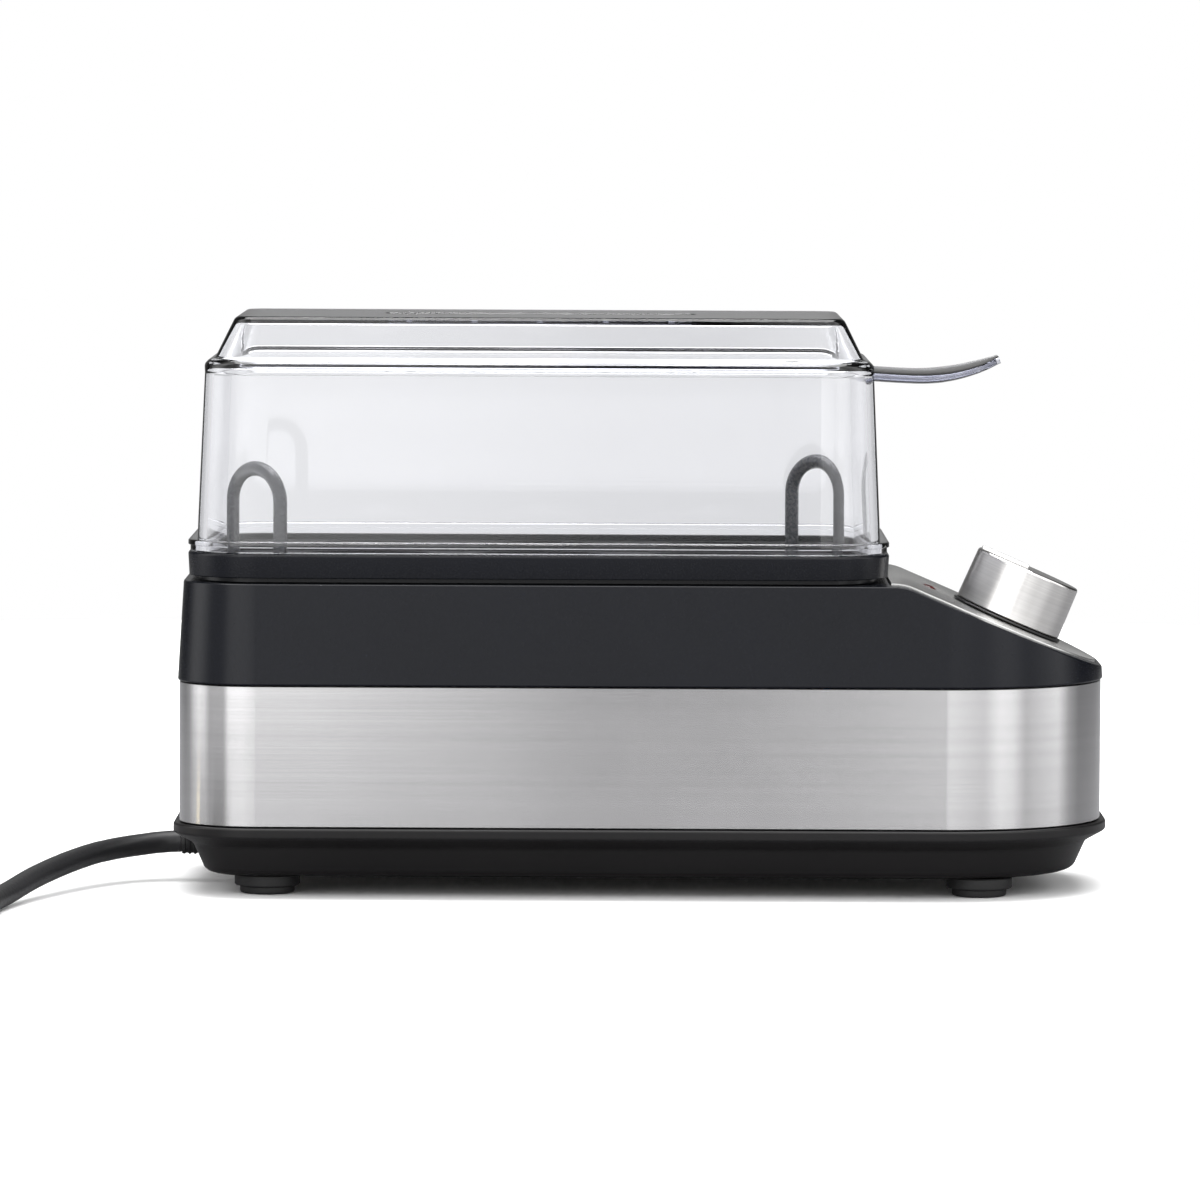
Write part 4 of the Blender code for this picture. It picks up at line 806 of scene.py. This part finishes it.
def rack():
    low, high = RACK[0].z, RACK[1].z
    inset = TRAY_FRONT - RACK[1].x
    made = plain(stack(tray_outline, [(low, inset), (high, inset)]))
    length, width = RACK[1].x - RACK[0].x, RACK[1].y - RACK[0].y
    pitch_x, pitch_y = length * 0.275, width / 2
    egg_radius = (min(pitch_x, pitch_y) - EGG_WEB) / 2
    holes = [(TRAY_X + column * pitch_x, row * pitch_y / 2, low - 0.01, high + 0.01, egg_radius)
             for column in (-1, 0, 1) for row in (-1, 1)]
    holes += [(TRAY_X + side * pitch_x / 2, 0, low - 0.01, high + 0.01, STEAM_HOLE)
              for side in (-1, 1)]
    combine(made, rods(holes, steps=72))
    for name in GRIPS:
        x, y = middle(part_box(name))
        combine(made, rods([(x - s * GRIP_STEP, y + s * GRIP_STEP, low - 0.01, high + 0.01,
                             GRIP_RADIUS + GAP) for s in (-1, 1)]))
    settle(made, "rack_skin", RACK_PLASTIC, "rack", "rack_plastic", "egg_rack", bevel=0.0005,
           segments=3)


def grips():
    """Arched bars with a raised seam along their outside."""
    for name in GRIPS:
        low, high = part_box(name)
        x, y = middle((low, high))
        top, arch = high.z - GRIP_RADIUS, GRIP_ARCH
        side = [(-GRIP_HALF, low.z + (top - arch - low.z) * k / 8) for k in range(9)]
        side += [(-GRIP_HALF * cos(pi * k / 40), top - arch + arch * sin(pi * k / 40))
                 for k in range(1, 40)]
        side += [(-u, z) for u, z in side[8::-1]]
        points = [Vector((x + u / sqrt(2), y - u / sqrt(2), z)) for u, z in side]
        across = Vector((1, 1, 0)).normalized()
        bm = bmesh.new()
        rows = []
        for k, point in enumerate(points):
            ahead = (points[min(k + 1, len(points) - 1)] - points[max(k - 1, 0)]).normalized()
            over = across.cross(ahead).normalized()
            ring = []
            for i in range(32):
                angle = 2 * pi * i / 32
                radius = GRIP_RADIUS - 0.00012 * (1 - abs(cos(angle)) ** 24)
                ring.append(bm.verts.new(point + over * (radius * cos(angle))
                                         + across * (radius * sin(angle))))
            rows.append(ring)
        for a, b in zip(rows, rows[1:]):
            for i in range(32):
                j = (i + 1) % 32
                bm.faces.new((a[i], a[j], b[j], b[i]))
        bm.faces.new(rows[0])
        bm.faces.new(rows[-1][::-1])
        settle(plain(bm), name + "_bar", GRIP_GREY, "rack", "grip_grey", name)


def tongue(front, z):
    """The handle: a curved plate with a round tip, rooted in the lid's front wall."""
    root = front - LID_INSET - LID_DRAFT - 0.0014
    length = LID[1].x - root
    rings = []
    for k in range(49):
        share = sin(pi / 2 * k / 48)
        along = share * length
        bend = max(0.0, (share - TONGUE_FLAT) / (1 - TONGUE_FLAT))
        lift = TONGUE_RISE * bend**2 - 0.0008 * sin(pi * share)
        angle = atan2(2 * TONGUE_RISE * bend / ((1 - TONGUE_FLAT) * length), 1.0)
        off = max(0.0, (along - (length - TONGUE_TIP)) / TONGUE_TIP)
        half_width = TONGUE_HALF_WIDTH * max(0.12, 1 - off**2.2) ** 0.5
        half_thick = TONGUE_HALF_THICKNESS * (1.0 - 0.35 * off)
        ring = []
        for i in range(40):
            turn = 2 * pi * i / 40
            c, s = cos(turn), sin(turn)
            size = (abs(c) ** 5 + abs(s) ** 5) ** -0.2
            up = half_thick * s * size
            ring.append((root + along - up * sin(angle), half_width * c * size,
                         z + lift + up * cos(angle)))
        rings.append(ring)
    return plain(loft(rings))


def lid():
    low, top, t = LID[0].z, LID[1].z, LID_WALL
    shoulder_z = low + LID_SHOULDER_HEIGHT
    flange = low + LID_FLANGE_HEIGHT
    wall, shoulder = LID_INSET, LID_INSET + LID_DRAFT
    slope = shoulder + LID_LEDGE
    crown = slope + LID_SLOPE
    outer = soften([
        (top, crown + 0.0040), (top, crown + 0.0008), (top - 0.0007, crown - 0.0002),
        (shoulder_z + 0.0004, slope), (shoulder_z, slope - 0.0010),
        (shoulder_z - 0.0003, shoulder + 0.0012), (shoulder_z - 0.0016, shoulder),
        (shoulder_z - 0.0040, shoulder + 0.0001),
    ], 0.0007, 4)
    outer += soften([
        (flange + 0.0060, wall + 0.0002), (flange, wall), (flange, 0.0003),
        (flange - 0.0003, 0.0), (flange - 0.0015, 0.0), (flange - 0.0015, 0.0006),
        (low, 0.0006), (low, wall + t),
    ], 0.00015, 2)
    inner = soften([
        (low, wall + t), (shoulder_z - 0.0040, shoulder + t),
        (shoulder_z - t, shoulder + t + 0.0010), (shoulder_z - t + 0.0004, slope + t * 0.75),
        (top - t, crown + t * 0.75), (top - t, crown + 0.0060),
    ], 0.0009, 4)
    made = plain(stack(tray_outline, [*outer, *inner[1:]]))
    combine(made, tongue(TRAY_FRONT, shoulder_z - 0.0046), "UNION")
    reach = VENT_PITCH * 2 + 0.007

    def groove(inset):
        return rounded(TRAY_X - reach, TRAY_X + reach, 0.0100, 0.0030, 0.0030, inset, 8)

    combine(made, plain(stack(groove, [(top - VENT_GROOVE, 0.0006), (top + 0.0002, -0.0003)])))
    combine(made, rods([(TRAY_X + VENT_PITCH * k, 0, top - 2 * t, top + t, VENT_RADIUS)
                        for k in range(-2, 3)]))
    settle(made, "lid_skin", CLEAR, "steam_lid", "clear_lid", "lid", sharp=24)


def knob():
    """The thin ring at the foot, then the hollow cap with its raised pointer."""
    seat = KNOB_SEAT
    ring_top = seat + RING_THICKNESS
    ring = [(RING_BORE, seat), (RING_RADIUS - 0.0002, seat), (RING_RADIUS, seat + 0.0002),
            (RING_RADIUS, ring_top - 0.0002), (RING_RADIUS - 0.0002, ring_top),
            (RING_BORE, ring_top), (RING_BORE, seat)]
    settle(plain(move(turned(ring, 128), AXIS_FRAME)), "knob_ring_turned", RING_BLACK, "base",
           "ring_black", "knob_ring")
    low, wide = ring_top + GAP, KNOB_RADIUS
    top, narrow = low + KNOB_HEIGHT, KNOB_TOP_RADIUS
    profile = [
        (0, top), (narrow - 0.0010, top), (narrow - 0.0006, top - 0.00005),
        (narrow - 0.0003, top - 0.0002), (narrow - 0.0001, top - 0.0005),
        (narrow, top - 0.0009), (wide, low + 0.0003), (wide - 0.0003, low),
        (wide - KNOB_WALL, low), (narrow - KNOB_WALL, top - 0.0022),
        (narrow - 0.0022, top - KNOB_WALL), (0, top - KNOB_WALL),
    ]
    cap = plain(move(turned(profile, 160), AXIS_FRAME))
    bar = bmesh.new()
    length = narrow - 0.0008
    bmesh.ops.create_cube(
        bar, size=1.0, matrix=AXIS_FRAME @ Matrix.Translation((-length / 2, 0, top))
        @ Matrix.Diagonal((length, 0.0022, 0.0016, 1)))
    ridge = plain(bar)
    modifier = ridge.modifiers.new("edges", "BEVEL")
    modifier.width, modifier.segments = 0.0004, 3
    combine(cap, evaluated(ridge), "UNION")
    settle(cap, "knob_cap_turned", KNOB_METAL, "knob", "knob_aluminium", "knob_cap", sharp=30)


def plug():
    """The moulded body: a ribbed neck that widens from round to a rounded block."""
    low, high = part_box("plug_body")
    x, start, z = (low.x + high.x) / 2, low.y, (low.z + high.z) / 2
    # how far along, half width, half height, and how square the outline is
    sections = [
        (0.0, 0.0046, 0.0046, 2.0), (0.0004, 0.0048, 0.0048, 2.0),
        (0.010, 0.0056, 0.0054, 2.0), (0.014, 0.0110, 0.0072, 2.6),
        (0.018, 0.0142, 0.0081, 3.2), (0.022, 0.0155, 0.0085, 4.0),
        (0.0365, 0.0170, 0.0085, 4.0), (0.0376, 0.0167, 0.0082, 4.0),
        (0.038, 0.0160, 0.0075, 4.0),
    ]
    knots = [Vector(section) for section in sections]
    rings = []
    for a, b in zip(knots, knots[1:]):
        steps = 8 if (b - a).x > 0.003 else 2
        rings += [a.lerp(b, k / steps) for k in range(steps)]
    rings.append(knots[-1])
    rows = []
    for along, half_width, half_height, power in rings:
        if 0.002 < along < 0.0105 and int(along / 0.0011) % 2:
            half_width, half_height = half_width - 0.0004, half_height - 0.0004
        row = []
        for k in range(64):
            c, s = cos(2 * pi * k / 64), sin(2 * pi * k / 64)
            size = (abs(c) ** power + abs(s) ** power) ** (-1 / power)
            row.append((x + half_width * c * size, start + along, z + half_height * s * size))
        rows.append(row)
    settle(plain(loft(rows)), "plug_moulding", PLUG_PVC, "base", "plug_black", "plug_body")


def relief():
    """The lead's rubber sleeve, with ribs where it stands out of the pan."""
    low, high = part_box("strain_relief")
    z = (low.z + high.z) / 2
    length = high.x - low.x
    profile = [(0, 0), (0.0036, 0)]
    for k in range(3):
        start = 0.0009 + 0.0016 * k
        profile += [(0.0037, start), (0.0034, start + 0.0002), (0.0034, start + 0.0008),
                    (0.0038, start + 0.0010)]
    profile += [(0.0042, 0.0060), (0.0043, length), (0, length)]
    bm = move(turned(profile, 48), upright_to_x(low.x, z))
    settle(plain(bm), "relief_sleeve", RUBBER, "base", "relief_rubber", "strain_relief")


steel_band()
pan()
feet()
housing()
plate()
lens()
surround()
dish()
rack()
grips()
lid()
knob()
plug()
relief()


# ---- floor, light -------------------------------------------------------------------------


FLOOR_RADIUS = 1.1


def floor():
    """A pale round floor that blends into the white studio."""
    bm = bmesh.new()
    bmesh.ops.create_circle(bm, cap_ends=True, segments=96, radius=FLOOR_RADIUS)
    paint = Paint("floor", (0.93, 0.93, 0.93), 0.7, Specular_IOR_Level=0.2)
    paint.tint(paint.noise(paint.place(), 3.0), (0.925, 0.925, 0.925), (0.935, 0.935, 0.935))
    # painted shade: in glossy reflections the floor is swapped for a dark grey diffuse, standing
    # in for the light falling off across it
    painted_reflection_shade = paint.node("ShaderNodeBsdfDiffuse")
    painted_reflection_shade.inputs["Color"].default_value = (0.20, 0.20, 0.205, 1.0)
    choice = paint.node("ShaderNodeMixShader")
    path = paint.node("ShaderNodeLightPath")
    mirrored = paint.node("ShaderNodeMath", operation="SUBTRACT", use_clamp=True)
    paint.link(path.outputs["Is Glossy Ray"], mirrored.inputs[0])
    paint.link(path.outputs["Is Transmission Ray"], mirrored.inputs[1])
    paint.link(mirrored.outputs[0], choice.inputs["Fac"])
    paint.link(paint.shader.outputs["BSDF"], choice.inputs[1])
    paint.link(painted_reflection_shade.outputs["BSDF"], choice.inputs[2])
    paint.link(choice.outputs["Shader"], paint.tree.nodes["Material Output"].inputs["Surface"])
    made = new_piece("floor", bm, paint.material)
    made.location.z = -0.0002
    return made


floor()


def softbox(name, at, towards, width, height, power):
    """An area light, in metres and watts, that the camera doesn't see."""
    data = bpy.data.lights.new(name, "AREA")
    data.shape = "RECTANGLE"
    data.size, data.size_y = width, height
    data.energy = power
    made = bpy.data.objects.new(name, data)
    bpy.context.scene.collection.objects.link(made)
    made.location = at
    made.rotation_mode = "QUATERNION"
    made.rotation_quaternion = (Vector(towards) - Vector(at)).to_track_quat("-Z", "Y")
    made.visible_camera = False
    return made


softbox("top", (0.0, 0.15, 1.6), (0.0, 0.0, 0.0), 1.8, 1.4, 42.0)


def world():
    """White to the camera and through the clear lid; a grey studio with soft boxes to the rest."""
    made = bpy.data.worlds.new("studio")
    bpy.context.scene.world = made
    made.use_nodes = True
    tree = made.node_tree
    tree.nodes.clear()
    out = tree.nodes.new("ShaderNodeOutputWorld")
    path = tree.nodes.new("ShaderNodeLightPath")

    def background(strength):
        node = tree.nodes.new("ShaderNodeBackground")
        node.inputs["Color"].default_value = (1.0, 1.0, 1.0, 1.0)
        node.inputs["Strength"].default_value = strength
        return node

    brightest = 4.0
    studio = background(brightest)
    coordinates = tree.nodes.new("ShaderNodeTexCoord")
    parts = tree.nodes.new("ShaderNodeSeparateXYZ")
    tree.links.new(coordinates.outputs["Generated"], parts.inputs["Vector"])
    back = tree.nodes.new("ShaderNodeMath")
    back.operation = "MULTIPLY"
    back.inputs[1].default_value = -1.0
    tree.links.new(parts.outputs["Y"], back.inputs[0])
    angle = tree.nodes.new("ShaderNodeMath")
    angle.operation = "ARCTAN2"
    tree.links.new(parts.outputs["X"], angle.inputs[0])
    tree.links.new(back.outputs[0], angle.inputs[1])
    spread = tree.nodes.new("ShaderNodeMapRange")
    spread.inputs["From Min"].default_value = -pi
    spread.inputs["From Max"].default_value = pi
    tree.links.new(angle.outputs[0], spread.inputs["Value"])
    ramp = tree.nodes.new("ShaderNodeValToRGB")
    # azimuth in degrees from the camera's side, towards +X, and how bright the studio is there
    stops = [
        (-180, 0.30), (-150, 0.10), (-131, 0.05), (-119, 0.42), (-107, 1.80), (-96, 2.60),
        (-85, 2.30), (-74, 0.90), (-50, 1.05), (-42, 2.90), (-22, 3.00), (-6, 2.50), (-2.6, 2.50),
        (-1.3, 1.70), (-0.3, 0.60), (0.5, 0.10), (1.5, 0.0), (1.8, 2.30), (5.0, 2.20), (30, 1.60),
        (42, 2.60), (52, 2.40), (62, 1.20), (72, 1.60), (92, 2.30), (104, 0.70), (116, 0.05),
        (150, 0.05), (180, 0.30),
    ]
    ends = ramp.color_ramp.elements
    ends[0].position, ends[1].position = 0.0, 1.0
    ends[0].color = ends[1].color = (stops[0][1] / brightest,) * 3 + (1.0,)
    for degrees, level in stops[1:-1]:
        ends.new((degrees + 180) / 360).color = (level / brightest,) * 3 + (1.0,)
    tree.links.new(spread.outputs["Result"], ramp.inputs["Fac"])
    tree.links.new(ramp.outputs["Color"], studio.inputs["Color"])
    first = tree.nodes.new("ShaderNodeMixShader")
    tree.links.new(path.outputs["Is Camera Ray"], first.inputs["Fac"])
    tree.links.new(first.outputs["Shader"], out.inputs["Surface"])
    second = tree.nodes.new("ShaderNodeMixShader")
    tree.links.new(path.outputs["Is Transmission Ray"], second.inputs["Fac"])
    tree.links.new(studio.outputs["Background"], second.inputs[1])
    tree.links.new(background(0.91).outputs["Background"], second.inputs[2])
    tree.links.new(second.outputs["Shader"], first.inputs[1])
    tree.links.new(background(1.0).outputs["Background"], first.inputs[2])


world()
bpy.context.scene.view_settings.view_transform = "Standard"
bpy.context.scene.view_settings.look = "None"
